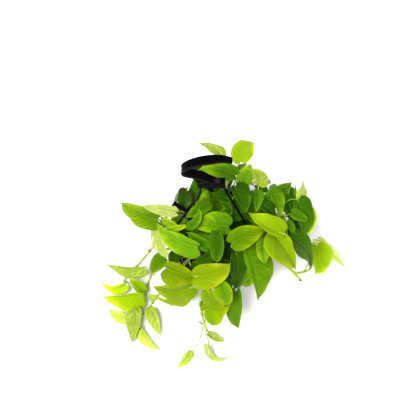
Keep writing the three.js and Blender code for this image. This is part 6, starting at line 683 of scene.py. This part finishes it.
def add_leaf(b, name, leaf, mats=(0, 1, 2)):
    """A blade with its veins, waves and midrib, and the stalk that carries it, into b."""
    r = rng_of(name)
    P = np.array(leaf["rib"], float)
    L = np.linalg.norm(P[3] - P[0])
    wl, wr = leaf["half"]
    lobe = leaf.get("lobe", LOBE)
    side = np.array(leaf["side"], float)
    opts = LEAF_LOOKS.get(name, {})
    small = L < 32
    nu, nv = (30, 17) if small else (NU, NV)
    u = np.linspace(0, 1, nu) ** 1.06
    u[-1] = 0.992
    v = np.linspace(-1, 1, nv)
    v = np.sign(v) * np.abs(v) ** 1.12
    M, T = bezier(P, u), bezier_tangent(P, u)
    S = side[None] - (T @ side)[:, None] * T
    S /= np.linalg.norm(S, axis=1, keepdims=True)
    N = np.cross(T, S)
    # each blade has its own shoulders, ending in a short drip tip
    shoulders = np.array(leaf.get("full", (1.0, 1.0))) * (r.uniform(0.93, 1.10), r.uniform(0.93, 1.10))
    full = np.where(v > 0, shoulders[0], shoulders[1])[None, :]
    w = outline(u)[:, None] ** np.where(u[:, None] > 0.22, full, 1.0)
    w = w * (1 - 0.46 * np.exp(-((u[:, None] - 0.945) / 0.06) ** 2))
    W = np.where(v > 0, wl, wr)[None, :]
    Wm = max(wl, wr)
    av, sg = np.abs(v)[None, :], np.sign(v)[None, :]
    y = av * W * w
    fold = opts.get("fold", FOLD + 9 + 3.5 * r.normal())
    h = y * math.tan(math.radians(fold)) - opts.get("cam", CAMBER) * y * y / W
    U = u[:, None]
    # slow waves of the margin
    amp = opts.get("wave", 0.07) * Wm
    f1, f2 = r.uniform(1.1, 2.0), r.uniform(2.2, 3.4)
    pl, pr = r.uniform(0, 6.28, 2), r.uniform(0, 6.28, 2)
    sel = (v > 0)[None, :]
    wave = np.where(sel, np.sin(6.283 * f1 * U + pl[0]) + 0.45 * np.sin(6.283 * f2 * U + pl[1]),
                    np.sin(6.283 * f1 * U + pr[0]) + 0.45 * np.sin(6.283 * f2 * U + pr[1]))
    h = h + amp * av ** 2.2 * wave * np.sin(np.pi * np.clip(U, 0.02, 1)) ** 0.5
    # the blade swells a little between its side veins
    phase = 9.0 * (U - 0.33 * av ** 1.25) + 0.5 * (v > 0)[None, :]
    h = h + 0.55 * min(1, L / 60) * (np.abs(np.sin(np.pi * phase)) - 0.5) * (4 * av * (1 - av)) ** 0.7 * (1 - U) ** 0.5
    # midrib groove, and the tip that bends down
    h = h - 0.5 * np.exp(-(y / 1.4) ** 2) * (1 - 0.7 * U)
    h = h - opts.get("tip", r.uniform(0.0, 0.03)) * L * np.clip((U - 0.72) / 0.28, 0, 1) ** 2
    hook = opts.get("hook", r.uniform(-0.02, 0.02)) * L * np.clip((u - 0.80) / 0.20, 0, 1) ** 2
    g = av
    back = lobe * L * (1.7 * g - 0.95 * g * g) * (1 - U) ** 3
    X = M[:, None] + S[:, None] * (sg * y + hook[:, None])[..., None] + N[:, None] * h[..., None] - T[:, None] * back[..., None]
    du = np.gradient(X, axis=0)
    dv = np.gradient(X, axis=1)
    n = np.cross(du, dv)
    n /= np.maximum(np.linalg.norm(n, axis=-1, keepdims=True), 1e-9)
    thick = 0.27 * (1 - 0.45 * av) + 0.0 * U
    rs = leaf["r"]
    ridge = rs * 1.15 * (1 - 0.85 * U) * np.exp(-(y / (rs * 1.05 * (1 - 0.6 * U))) ** 2)
    top = X + n * thick[..., None]
    low = X - n * (thick + ridge)[..., None]
    uv = np.stack(np.broadcast_arrays(U, (v[None, :] + 1) / 2), -1)
    tone_and_shade, yellow = leaf.get("tone_and_shade", r.uniform(0.3, 0.7)), leaf.get("yellow", r.uniform(0.35, 0.65))
    burnt = np.zeros((nu, nv))
    if "burn" in opts:
        kind, amount = opts["burn"]
        if kind == "edge":
            burnt = amount * np.clip((av - 0.62) / 0.38, 0, 1) * (0.4 + 0.6 * U)
        elif kind == "base":
            burnt = amount * np.maximum(np.clip((0.15 - U + 0.06 * np.sin(8 * v[None, :])) / 0.10, 0, 1), np.clip((av - 0.86) / 0.10, 0, 1) * (U < 0.55))
        elif kind == "tip":
            burnt = amount * np.clip((U - opts.get("from", 0.93)) / 0.05, 0, 1) * np.ones_like(av)
        elif kind == "spot":
            burnt = amount * np.exp(-(((U - opts["at"][0]) / 0.035) ** 2 + ((v[None, :] - opts["at"][1]) / 0.10) ** 2))
    tint = np.stack(np.broadcast_arrays(tone_and_shade, yellow, burnt), -1)
    idx = np.arange(nu * nv).reshape(nu, nv)
    q = np.stack([idx[:-1, :-1], idx[1:, :-1], idx[1:, 1:], idx[:-1, 1:]], -1).reshape(-1, 4)
    m2 = nu * nv
    loop = np.concatenate([idx[0, :], idx[1:, -1], idx[-1, -2::-1], idx[-2:0:-1, 0]])
    nxt = np.roll(loop, -1)
    rim = np.stack([loop, nxt, nxt + m2, loop + m2], -1)
    faces = [tuple(f) for f in q] + [tuple(f + m2) for f in q[:, ::-1]] + [tuple(f) for f in rim]
    mat = [mats[0]] * len(q) + [mats[1]] * len(q) + [mats[0]] * len(rim)
    b.add(np.concatenate([top.reshape(-1, 3), low.reshape(-1, 3)]), faces,
          np.concatenate([uv.reshape(-1, 2)] * 2), mat, np.concatenate([tint.reshape(-1, 3)] * 2))
    # stalk: sheathed at the stem, a little thicker at the joint under the blade
    A = np.array(leaf["stalk"] + [leaf["rib"][0]], float)
    t = np.linspace(0, 1, 22)
    path = bezier(A, t)
    under = bezier(P, np.array([0.03, 0.07, 0.12])) - N[[0, 0, 0]] * np.array([[0.55], [0.5], [0.45]]) * rs
    path[-1] -= N[0] * 0.35 * rs
    path = np.vstack([path, under])
    tt = np.concatenate([t, [1, 1, 1]])
    rad = rs * 0.86 * (1 + 0.42 * np.clip(1 - tt / 0.22, 0, 1) ** 1.3 + 0.16 * np.exp(-((tt - 0.95) / 0.05) ** 2))
    rad[-3:] *= (0.85, 0.65, 0.35)
    tube(b, path, rad, 10, mats[2], (tone_and_shade, yellow, 0.0))
    return b


def leaf_object(name, leaf, kind, node=None):
    b = Build()
    add_leaf(b, name, leaf)
    # stalks of the shaded leaf kinds take the painted-shade stalk copy
    stalk = LEAF_LOOKS.get(name, {}).get("stalk", "dark" if kind in ("deep_shade", "mid", "lime") else "light")
    o = b.object(name, [MATS[kind][0], MATS[kind][1], STALK_SHADED if stalk == "dark" else STALK])
    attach(o, "root")
    if node:
        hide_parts(node)
    return o


for name, leaf in FREE_LEAVES.items():
    leaf_object(name + "_look", leaf, leaf["kind"], name)
for stem, leaves in STEM_LEAVES.items():
    for k, leaf in enumerate(leaves):
        leaf_object("%s_leaf_%d" % (stem, k + 1), leaf, leaf["kind"])


# ---------------------------------------------------------------- stems and vines
def stem_object(name, stem):
    r = rng_of(name)
    P = catmull(stem["path"], 24)
    start = P[0] + np.array([0, 0, -4.5])
    P = np.vstack([start, P])
    vine = name.startswith("vine")
    P, length = resample(P, int(max(40, np.linalg.norm(np.diff(P, axis=0), axis=1).sum() / 1.6)))
    s = np.linspace(0, length, len(P))
    rad = np.full(len(P), stem["radius"], float)
    tint = np.tile([r.uniform(0.35, 0.65), 0.5, 0.0], (len(P), 1))
    # nodes: where its leaves leave it, and between them
    at = []
    for leaf in STEM_JOINTS.get(name, []):
        at.append(s[np.argmin(np.linalg.norm(P - np.array(leaf), axis=1))])
    step = 34.0 if vine else 21.0
    x = r.uniform(8, 16)
    while x < length - 6:
        if all(abs(x - a) > 9 for a in at):
            at.append(x)
        x += step * r.uniform(0.8, 1.2)
    for a in at:
        rad += stem["radius"] * 0.34 * np.exp(-((s - a) / 1.7) ** 2)
        tint[:, 2] = np.maximum(tint[:, 2], 0.62 * np.exp(-((s - a - 1.2) / 0.9) ** 2))
        tint[:, 0] -= 0.12 * np.exp(-((s - a) / 3.0) ** 2)
    rad *= 1 + 0.03 * np.sin(s / 7.0 + r.uniform(0, 6))
    tail = np.clip((length - s) / 9.0, 0, 1)
    rad *= 0.35 + 0.65 * tail ** 0.6
    b = Build()
    tube(b, P, rad, 14, 0, tint)
    # aerial root stubs at some nodes
    for i, a in enumerate(at):
        if r.uniform() < (0.55 if vine else 0.35) and 12 < a < length - 12:
            j = int(np.argmin(np.abs(s - a)))
            T = unit(P[min(j + 1, len(P) - 1)] - P[j - 1])
            q = r.normal(size=3)
            q = unit(q - q @ T * T)
            if vine and P[j][2] < 12:
                q = unit(np.array([q[0], q[1], 0.15]))
            k = r.uniform(2.2, 4.2)
            path = np.array([P[j] + q * stem["radius"] * 0.6, P[j] + q * (stem["radius"] + k * 0.5) + T * 0.6, P[j] + q * (stem["radius"] + k) + T * 1.6])
            if path[:, 2].min() > 0.8:
                tube(b, path, [0.75, 0.6, 0.3], 8, 1, (0.5, 0.5, 0.0))
    if name in SHOOTS:
        path, _ = resample(catmull(SHOOTS[name]["path"], 10), 24)
        n = len(path)
        tt = np.tile([0.75, 0.7, 0.0], (n, 1))
        tt[-3:, 2] = 1.0
        tube(b, path, SHOOTS[name]["radius"] * np.linspace(1.0, 0.82, n), 12, 2, tt)
    for root in ROOTS.get(name, []):
        path, _ = resample(catmull(root["path"], 8), 12)
        tube(b, path, np.linspace(root["radius"], root["radius"] * 0.45, 12), 8, 1, (0.3, 0.5, 0.0))
    o = b.object(name + "_look", [STEM if not vine else VINE, ROOT, STALK])
    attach(o, "root")
    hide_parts(name)
    return o


VINE = stem_material("vine_green", (0.26, 0.34, 0.030), (0.48, 0.54, 0.090), (0.09, 0.05, 0.02))
for name, stem in STEMS.items():
    stem_object(name, stem)


# ---------------------------------------------------------------- pot and soil
def lathe(name, profile, segments, materials, smooth_angle=40):
    """profile: (radius, height) from axis to axis, in mm. Faces point out where the profile runs with the solid on its left."""
    prof = np.array(profile, float)
    a = np.linspace(0, 2 * np.pi, segments, endpoint=False)
    verts, rings = [], []
    for r_, z in prof:
        if r_ < 1e-6:
            rings.append([len(verts)])
            verts.append((0, 0, z))
        else:
            rings.append(list(range(len(verts), len(verts) + segments)))
            verts += [(r_ * math.cos(t), r_ * math.sin(t), z) for t in a]
    faces = []
    for A, B in zip(rings[:-1], rings[1:]):
        for j in range(segments):
            k = (j + 1) % segments
            if len(A) == 1:
                faces.append((A[0], B[k], B[j]))
            elif len(B) == 1:
                faces.append((A[j], A[k], B[0]))
            else:
                faces.append((A[j], A[k], B[k], B[j]))
    me = bpy.data.meshes.new(name)
    me.from_pydata((np.array(verts) * MM).tolist(), [], faces)
    for m in materials:
        me.materials.append(m)
    me.update()
    o = bpy.data.objects.new(name, me)
    bpy.context.scene.collection.objects.link(o)
    bm = bmesh.new()
    bm.from_mesh(me)
    bmesh.ops.recalc_face_normals(bm, faces=bm.faces)
    bm.to_mesh(me)
    bm.free()
    me.shade_smooth()
    return o


def apply_all(o):
    dg = bpy.context.evaluated_depsgraph_get()
    me = bpy.data.meshes.new_from_object(o.evaluated_get(dg))
    old = o.data
    o.modifiers.clear()
    o.data = me
    if old.users == 0:
        bpy.data.meshes.remove(old)
    return o


def bevel(o, width, segments=3, angle=35):
    m = o.modifiers.new("bevel", "BEVEL")
    m.width = width * MM
    m.segments = segments
    m.limit_method = "ANGLE"
    m.angle_limit = math.radians(angle)
    m.harden_normals = False
    apply_all(o)
    for p in o.data.polygons:
        p.use_smooth = True
    o.data.update()
    return o


def make_pot():
    slope = (POT_TOP_R - POT_BASE_R) / POT_LIP_Z
    prof = [(0, 0.9), (18, 0.9), (19.0, 0.0), (POT_BASE_R - 3.2, 0), (POT_BASE_R - 1.4, 0.5), (POT_BASE_R, 2.0)]
    for z in (4, 8, 12, 16):
        prof.append((POT_BASE_R + slope * z, z))
    # two shallow steps and a band under the lip
    prof += [(POT_BASE_R + slope * 17, 17.0), (POT_BASE_R + slope * 17 + 0.45, 17.6), (POT_BASE_R + slope * 20 + 0.45, 20.4), (POT_BASE_R + slope * 21, 21.0)]
    for z in (34, 48, 62, 76, 88):
        prof.append((POT_BASE_R + slope * z, z))
    prof += [(POT_BASE_R + slope * 94, 94.0), (POT_BASE_R + slope * 94 + 0.4, 94.6), (POT_BASE_R + slope * 97 + 0.4, 97.2), (POT_BASE_R + slope * 98, 98.0)]
    prof += [(POT_TOP_R - 0.5, 109.5), (POT_TOP_R, 111.2), (POT_TOP_R + 0.8, POT_LIP_Z), (POT_LIP_R - 0.9, POT_LIP_Z),
             (POT_LIP_R - 0.2, POT_LIP_Z + 0.5), (POT_LIP_R, POT_LIP_Z + 1.4), (POT_LIP_R, POT_HEIGHT - 2.6),
             (POT_LIP_R - 0.3, POT_HEIGHT - 1.2), (POT_LIP_R - 1.1, POT_HEIGHT - 0.3), (POT_LIP_R - 2.0, POT_HEIGHT),
             (POT_TOP_R - 0.8, POT_HEIGHT), (POT_TOP_R - 1.7, POT_HEIGHT - 0.5), (POT_TOP_R - POT_WALL, POT_HEIGHT - 2),
             (POT_TOP_R - POT_WALL, POT_LIP_Z), (POT_BASE_R - POT_WALL + slope * 60, 60), (POT_BASE_R - POT_WALL + slope * 3, 3.6), (POT_BASE_R - POT_WALL - 1, 3), (0, 3)]
    o = lathe("pot_look", prof, 144, [POT_MAT])
    cutters = []
    for k in range(4):
        a = math.radians(45 + 90 * k)
        bpy.ops.mesh.primitive_cylinder_add(vertices=32, radius=4.5 * MM, depth=9 * MM, location=(34 * MM * math.cos(a), 34 * MM * math.sin(a), 1.5 * MM))
        cutters.append(bpy.context.object)
    for c in cutters:
        m = o.modifiers.new("drain", "BOOLEAN")
        m.operation = "DIFFERENCE"
        m.object = c
        m.solver = "EXACT"
    apply_all(o)
    for c in cutters:
        bpy.data.objects.remove(c)
    me = o.data
    me.shade_smooth()
    me.set_sharp_from_angle(angle=math.radians(38))
    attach(o, "root")
    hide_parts("pot")
    return o


def make_soil():
    r = np.random.default_rng(41)
    slope = (POT_TOP_R - POT_BASE_R) / POT_LIP_Z
    inner = lambda z: POT_BASE_R - POT_WALL + slope * z - 0.5
    rings, seg = 46, 128
    R = inner(100)
    b = Build()
    verts, uv, tint = [], [], []
    waves = [(r.uniform(0.05, 0.35), r.uniform(0, 6.28), r.uniform(0, 6.28), r.uniform(0.2, 0.8)) for _ in range(26)]

    def lump(x, y):
        h = 0
        for k, (f, a, p, w) in enumerate(waves):
            h = h + w * math.sin(f * (x * math.cos(a) + y * math.sin(a)) * (1 + k * 0.09) + p)
        return h * 0.33
    verts.append((0, 0, SOIL_TOP + lump(0, 0) * 0.8))
    for i in range(1, rings + 1):
        q = R * i / rings
        for j in range(seg):
            a = 2 * math.pi * (j + 0.5 * (i % 2)) / seg
            x, y = q * math.cos(a), q * math.sin(a)
            edge = max(0.0, (q - R + 6) / 6)
            verts.append((x, y, SOIL_TOP - 0.4 + lump(x, y) * 0.8 + r.normal() * 0.32 - 2.2 * edge ** 2))
    faces = []
    for j in range(seg):
        faces.append((0, 1 + j, 1 + (j + 1) % seg))
    for i in range(rings - 1):
        for j in range(seg):
            a, c = 1 + i * seg + j, 1 + i * seg + (j + 1) % seg
            faces.append((a, a + seg, c + seg, c))
    base = 1 + (rings - 1) * seg
    n0 = len(verts)
    for z in (80.0, 3.5):
        for j in range(seg):
            a = 2 * math.pi * (j + 0.5 * (rings % 2)) / seg
            verts.append((inner(z) * math.cos(a), inner(z) * math.sin(a), z))
    for lo, hi in ((base, n0), (n0, n0 + seg)):
        for j in range(seg):
            k = (j + 1) % seg
            faces.append((lo + j, hi + j, hi + k, lo + k))
    verts.append((0, 0, 3.5))
    for j in range(seg):
        faces.append((n0 + seg + j, len(verts) - 1, n0 + seg + (j + 1) % seg))
    b.add(verts, faces, np.zeros((len(verts), 2)), 0, (0.5, 0.0, 0.0))
    # bark, crumbs and perlite
    ico = bmesh.new()
    bmesh.ops.create_icosphere(ico, subdivisions=2, radius=1.0)
    iv = np.array([v.co for v in ico.verts])
    iface = [tuple(v.index for v in f.verts) for f in ico.faces]
    ico.free()
    for k in range(430):
        q = (R - 3.5) * math.sqrt(r.uniform())
        a = r.uniform(0, 2 * math.pi)
        kind = r.uniform()
        if kind < 0.17:
            size = np.array([1, 1, 1]) * r.uniform(0.7, 1.6); t = (0.5, 0.85, 0.0)
        elif kind < 0.5:
            size = np.array([r.uniform(1.6, 4.6), r.uniform(0.8, 1.8), r.uniform(0.4, 0.9)]); t = (0.5, 0.0, r.uniform(0.5, 1.0))
        else:
            size = r.uniform(0.5, 1.6, 3); t = (0.5, 0.0, 0.0)
        M = np.linalg.qr(r.normal(size=(3, 3)))[0] if kind < 0.17 or kind > 0.5 else None
        V = iv * (1 + 0.22 * r.normal(size=(len(iv), 1))) * size
        if M is not None:
            V = V @ M.T
        else:
            c, s_ = math.cos(r.uniform(0, 3.14)), math.sin(r.uniform(0, 3.14))
            V = V @ np.array([[c, -s_, 0], [s_, c, 0], [0, 0, 1]]).T
        x, y = q * math.cos(a), q * math.sin(a)
        V = V + np.array([x, y, SOIL_TOP - 0.2 + lump(x, y) * 0.8 + 0.25])
        b.add(V, iface, np.zeros((len(V), 2)), 0, t)
    o = b.object("soil_look", [SOIL_MAT])
    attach(o, "root")
    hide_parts("soil")
    return o


make_pot()
make_soil()


# ---------------------------------------------------------------- hanger
def sweep(b, P, S, N, section, scale_a, scale_b, mat=0):
    """section: closed list of (a, b) across S and N; scale per point."""
    P = np.asarray(P, float)
    sec = np.array(section, float)
    k = len(sec)
    V = P[:, None] + S[:, None] * (sec[None, :, 0] * scale_a[:, None])[..., None] + N[:, None] * (sec[None, :, 1] * scale_b[:, None])[..., None]
    n = len(P)
    faces = []
    for i in range(n - 1):
        for j in range(k):
            j2 = (j + 1) % k
            faces.append((i * k + j, i * k + j2, (i + 1) * k + j2, (i + 1) * k + j))
    faces.append(tuple(range(k - 1, -1, -1)))
    faces.append(tuple((n - 1) * k + j for j in range(k)))
    b.add(V.reshape(-1, 3), faces, np.zeros((n * k, 2)), mat, (0.5, 0.5, 0.0))


def rounded(section, radius, steps=3):
    """Rounds the corners of a closed polygon."""
    P = [np.array(p, float) for p in section]
    out = []
    for i, p in enumerate(P):
        a, c = P[i - 1], P[(i + 1) % len(P)]
        da, dc = unit(a - p), unit(c - p)
        rr = min(radius, np.linalg.norm(a - p) * 0.45, np.linalg.norm(c - p) * 0.45)
        s, e_ = p + da * rr, p + dc * rr
        for t in np.linspace(0, 1, steps):
            out.append(tuple((1 - t) ** 2 * s + 2 * (1 - t) * t * p + t * t * e_))
    return out


def join(objects, name):
    bpy.ops.object.select_all(action="DESELECT")
    for o in objects:
        o.select_set(True)
    bpy.context.view_layer.objects.active = objects[0]
    bpy.ops.object.join()
    o = bpy.context.object
    o.name = name
    o.data.name = name
    return o


def prism(name, outline_xz, y0, y1, holes=()):
    """A plate in the XZ plane between y0 and y1 (mm)."""
    cu = bpy.data.curves.new(name, "CURVE")
    cu.dimensions = "2D"
    cu.fill_mode = "BOTH"
    for ring in (outline_xz, *holes):
        sp = cu.splines.new("POLY")
        sp.points.add(len(ring) - 1)
        for p, (x, z) in zip(sp.points, ring):
            p.co = (x * MM, z * MM, 0, 1)
        sp.use_cyclic_u = True
    cu.extrude = abs(y1 - y0) / 2 * MM
    o = bpy.data.objects.new(name, cu)
    bpy.context.scene.collection.objects.link(o)
    dg = bpy.context.evaluated_depsgraph_get()
    me = bpy.data.meshes.new_from_object(o.evaluated_get(dg))
    bpy.data.objects.remove(o)
    bm = bmesh.new()
    bm.from_mesh(me)
    bmesh.ops.remove_doubles(bm, verts=bm.verts, dist=1e-6)
    bmesh.ops.recalc_face_normals(bm, faces=bm.faces)
    bm.to_mesh(me)
    bm.free()
    me.transform(Matrix.Translation((0, (y0 + y1) / 2 * MM, 0)) @ Matrix.Rotation(math.pi / 2, 4, "X"))
    o = bpy.data.objects.new(name, me)
    bpy.context.scene.collection.objects.link(o)
    if not me.materials:
        me.materials.append(PLASTIC)
    return o


def box(name, x, y, z):
    me = bpy.data.meshes.new(name)
    bm = bmesh.new()
    bmesh.ops.create_cube(bm, size=1.0)
    for v in bm.verts:
        v.co = Vector(((x[0] + x[1]) / 2 + v.co.x * (x[1] - x[0]), (y[0] + y[1]) / 2 + v.co.y * (y[1] - y[0]), (z[0] + z[1]) / 2 + v.co.z * (z[1] - z[0]))) * MM
    bm.to_mesh(me)
    bm.free()
    me.materials.append(PLASTIC)
    o = bpy.data.objects.new(name, me)
    bpy.context.scene.collection.objects.link(o)
    return o


def make_hook():
    path = np.array([(x, HOOK_Y, z) for x, z in HOOK_PATH])
    P, length = resample(catmull(path, 20), 110)
    T = np.gradient(P, axis=0)
    T /= np.linalg.norm(T, axis=1, keepdims=True)
    S = np.tile([0.0, 1.0, 0.0], (len(P), 1))
    N = np.cross(T, S)
    t = np.linspace(0, 1, len(P))
    ease = np.clip(t / 0.2, 0, 1)
    a = (HOOK_TIP_DEPTH + (HOOK_DEPTH - HOOK_TIP_DEPTH) * ease) / 2
    bb = np.full(len(P), HOOK_THICK / 2)
    # a flanged band: edges at full depth, two channels and a middle rib
    half = [(-1, -1), (-0.74, -1), (-0.70, -0.42), (-0.16, -0.42), (-0.12, -0.88), (0.12, -0.88), (0.16, -0.42), (0.70, -0.42), (0.74, -1), (1, -1),
            (1, 1), (0.74, 1), (0.70, 0.42), (0.16, 0.42), (0.12, 0.88), (-0.12, 0.88), (-0.16, 0.42), (-0.70, 0.42), (-0.74, 1), (-1, 1)]
    sec = rounded(half, 0.085, 3)
    b = Build()
    sweep(b, P, S, N, sec, a, bb)
    band = b.object("hook_band", [PLASTIC])
    web = prism("hook_web", [(-40, 307), (-33, BLOCK[2][0] + 4), (-4, BLOCK[2][0] + 4), (-6, 283.5), (-21.5, 296.3), (-29.2, 302.3)],
                HOOK_Y - 2.2, HOOK_Y + 2.2, [[(-27.3 + 2 * math.cos(q), 290.5 + 2 * math.sin(q)) for q in np.linspace(0, 2 * math.pi, 20, endpoint=False)]])
    bevel(web, 0.5)
    rim = [box("rim1", (-34.5, -3.0), (HOOK_Y - 3.5, HOOK_Y + 3.5), (BLOCK[2][1] - 0.5, BLOCK[2][1] + 1.6))]
    blk = box("hook_block", BLOCK[0], BLOCK[1], BLOCK[2])
    bevel(blk, 1.1, 4)
    lugs = [box("lug", (x - 3.4, x + 3.4), (y - 3.0, y + 3.0), (BLOCK[2][0] + 0.1, BLOCK[2][0] + 3.4)) for x, y in ((-28.9, 0.3), (-0.4, 1.8))]
    for o in rim + lugs:
        bevel(o, 0.6, 3)
    o = join([band, web, blk] + rim + lugs, "hook_look")
    o.data.set_sharp_from_angle(angle=math.radians(32))
    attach(o, "root")
    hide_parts("hook")
    return o


def make_arm(name, pts):
    pts = [np.array(p, float) for p in pts]
    foot = pts[-1]
    az = math.atan2(foot[1], foot[0])
    top = 125.2
    end = np.array([79.5 * math.cos(az), 79.5 * math.sin(az), top - 1])
    while pts[-1][2] < top + 6:
        pts.pop()
    pts.append(end)
    P, length = resample(catmull(pts, 16), 90)
    T = np.gradient(P, axis=0)
    T /= np.linalg.norm(T, axis=1, keepdims=True)
    s = np.array([-math.sin(az), math.cos(az), 0.0])
    S = []
    for k in range(len(P) - 1, -1, -1):
        s = unit(s - s @ T[k] * T[k])
        S.append(s)
    S = np.array(S[::-1])
    N = np.cross(T, S)
    # the rod has a raised rib along each face
    sec = rounded([(-1, -0.8), (-0.34, -0.8), (-0.24, -1), (0.24, -1), (0.34, -0.8), (1, -0.8), (1, 0.8), (0.34, 0.8), (0.24, 1), (-0.24, 1), (-0.34, 0.8), (-1, 0.8)], 0.16, 3)
    b = Build()
    sweep(b, P, S, N, sec, np.full(len(P), 1.5), np.full(len(P), 1.4))
    rod = b.object(name + "_rod", [PLASTIC])
    parts = [rod]
    for nm, x, y, z in (("plate", (76.8, 84), (-5, 5), (top - 2.2, top)), ("skirt", (POT_LIP_R + 0.35, 84), (-5, 5), (114, top)), ("boss", (77.6, 82.2), (-2.9, 2.9), (top - 0.4, top + 2.6)), ("catch", (POT_LIP_R + 0.35, 84.6), (-5, 5), (114, 115.8))):
        q = box(nm, x, y, z)
        bevel(q, 0.6, 3)
        q.data.transform(Matrix.Rotation(az, 4, "Z"))
        parts.append(q)
    if name in ARM_TAILS:
        for nm, path, w, th in ((name + "_tail", ARM_TAILS[name]["path"], ARM_TAILS[name]["width"], ARM_TAILS[name]["thick"]),):
            p2, _ = resample(catmull(path, 10), 20)
            t2 = np.gradient(p2, axis=0)
            t2 /= np.linalg.norm(t2, axis=1, keepdims=True)
            up_ = np.array([0, 0, 1.0])
            s2 = np.array([unit(np.cross(up_, t)) for t in t2])
            n2 = np.cross(t2, s2)
            bb = Build()
            sweep(bb, p2, s2, n2, rounded([(-1, -1), (1, -1), (1, 1), (-1, 1)], 0.25, 3), w / 2 * np.linspace(0.94, 1.30, 20), np.linspace(0.95, 1.25, 20) * th / 2)
            parts.append(bb.object(nm, [PLASTIC]))
    o = join(parts, name + "_look")
    o.data.set_sharp_from_angle(angle=math.radians(32))
    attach(o, "root")
    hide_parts(name)
    return o


make_hook()
for name, pts in ARM_PATHS.items():
    make_arm(name, pts)


# ---------------------------------------------------------------- floor and light
def make_floor():
    me = bpy.data.meshes.new("floor")
    bm = bmesh.new()
    bmesh.ops.create_grid(bm, x_segments=1, y_segments=1, size=12.0)
    for v in bm.verts:
        v.co.z = -0.0006
    bm.to_mesh(me)
    bm.free()
    m = Nodes("floor_paper")
    obj = m.coord("Object")
    n = m.noise(obj, 3.0, 3.0)
    col = m.mix(n, (0.93, 0.93, 0.93), (0.955, 0.955, 0.955))
    me.materials.append(m.finish(col, 0.85, None, **{"Specular IOR Level": 0.2}))
    o = bpy.data.objects.new("floor", me)
    bpy.context.scene.collection.objects.link(o)


make_floor()

world = bpy.data.worlds.new("studio")
world.use_nodes = True
bg = world.node_tree.nodes["Background"]
bg.inputs[0].default_value = (1.0, 1.0, 1.0, 1)
bg.inputs[1].default_value = WORLD
bpy.context.scene.world = world


def area(name, pos, target, size, power, color=(1, 1, 1)):
    d = bpy.data.lights.new(name, "AREA")
    d.shape = "SQUARE"
    d.size = size
    d.energy = power
    d.color = color
    o = bpy.data.objects.new(name, d)
    o.location = pos
    o.rotation_euler = (Vector(target) - Vector(pos)).to_track_quat("-Z", "Y").to_euler()
    bpy.context.scene.collection.objects.link(o)
    return o


for L in LIGHTS:
    area(*L)

bpy.context.scene.view_settings.view_transform = "Standard"
bpy.context.scene.view_settings.look = "None"
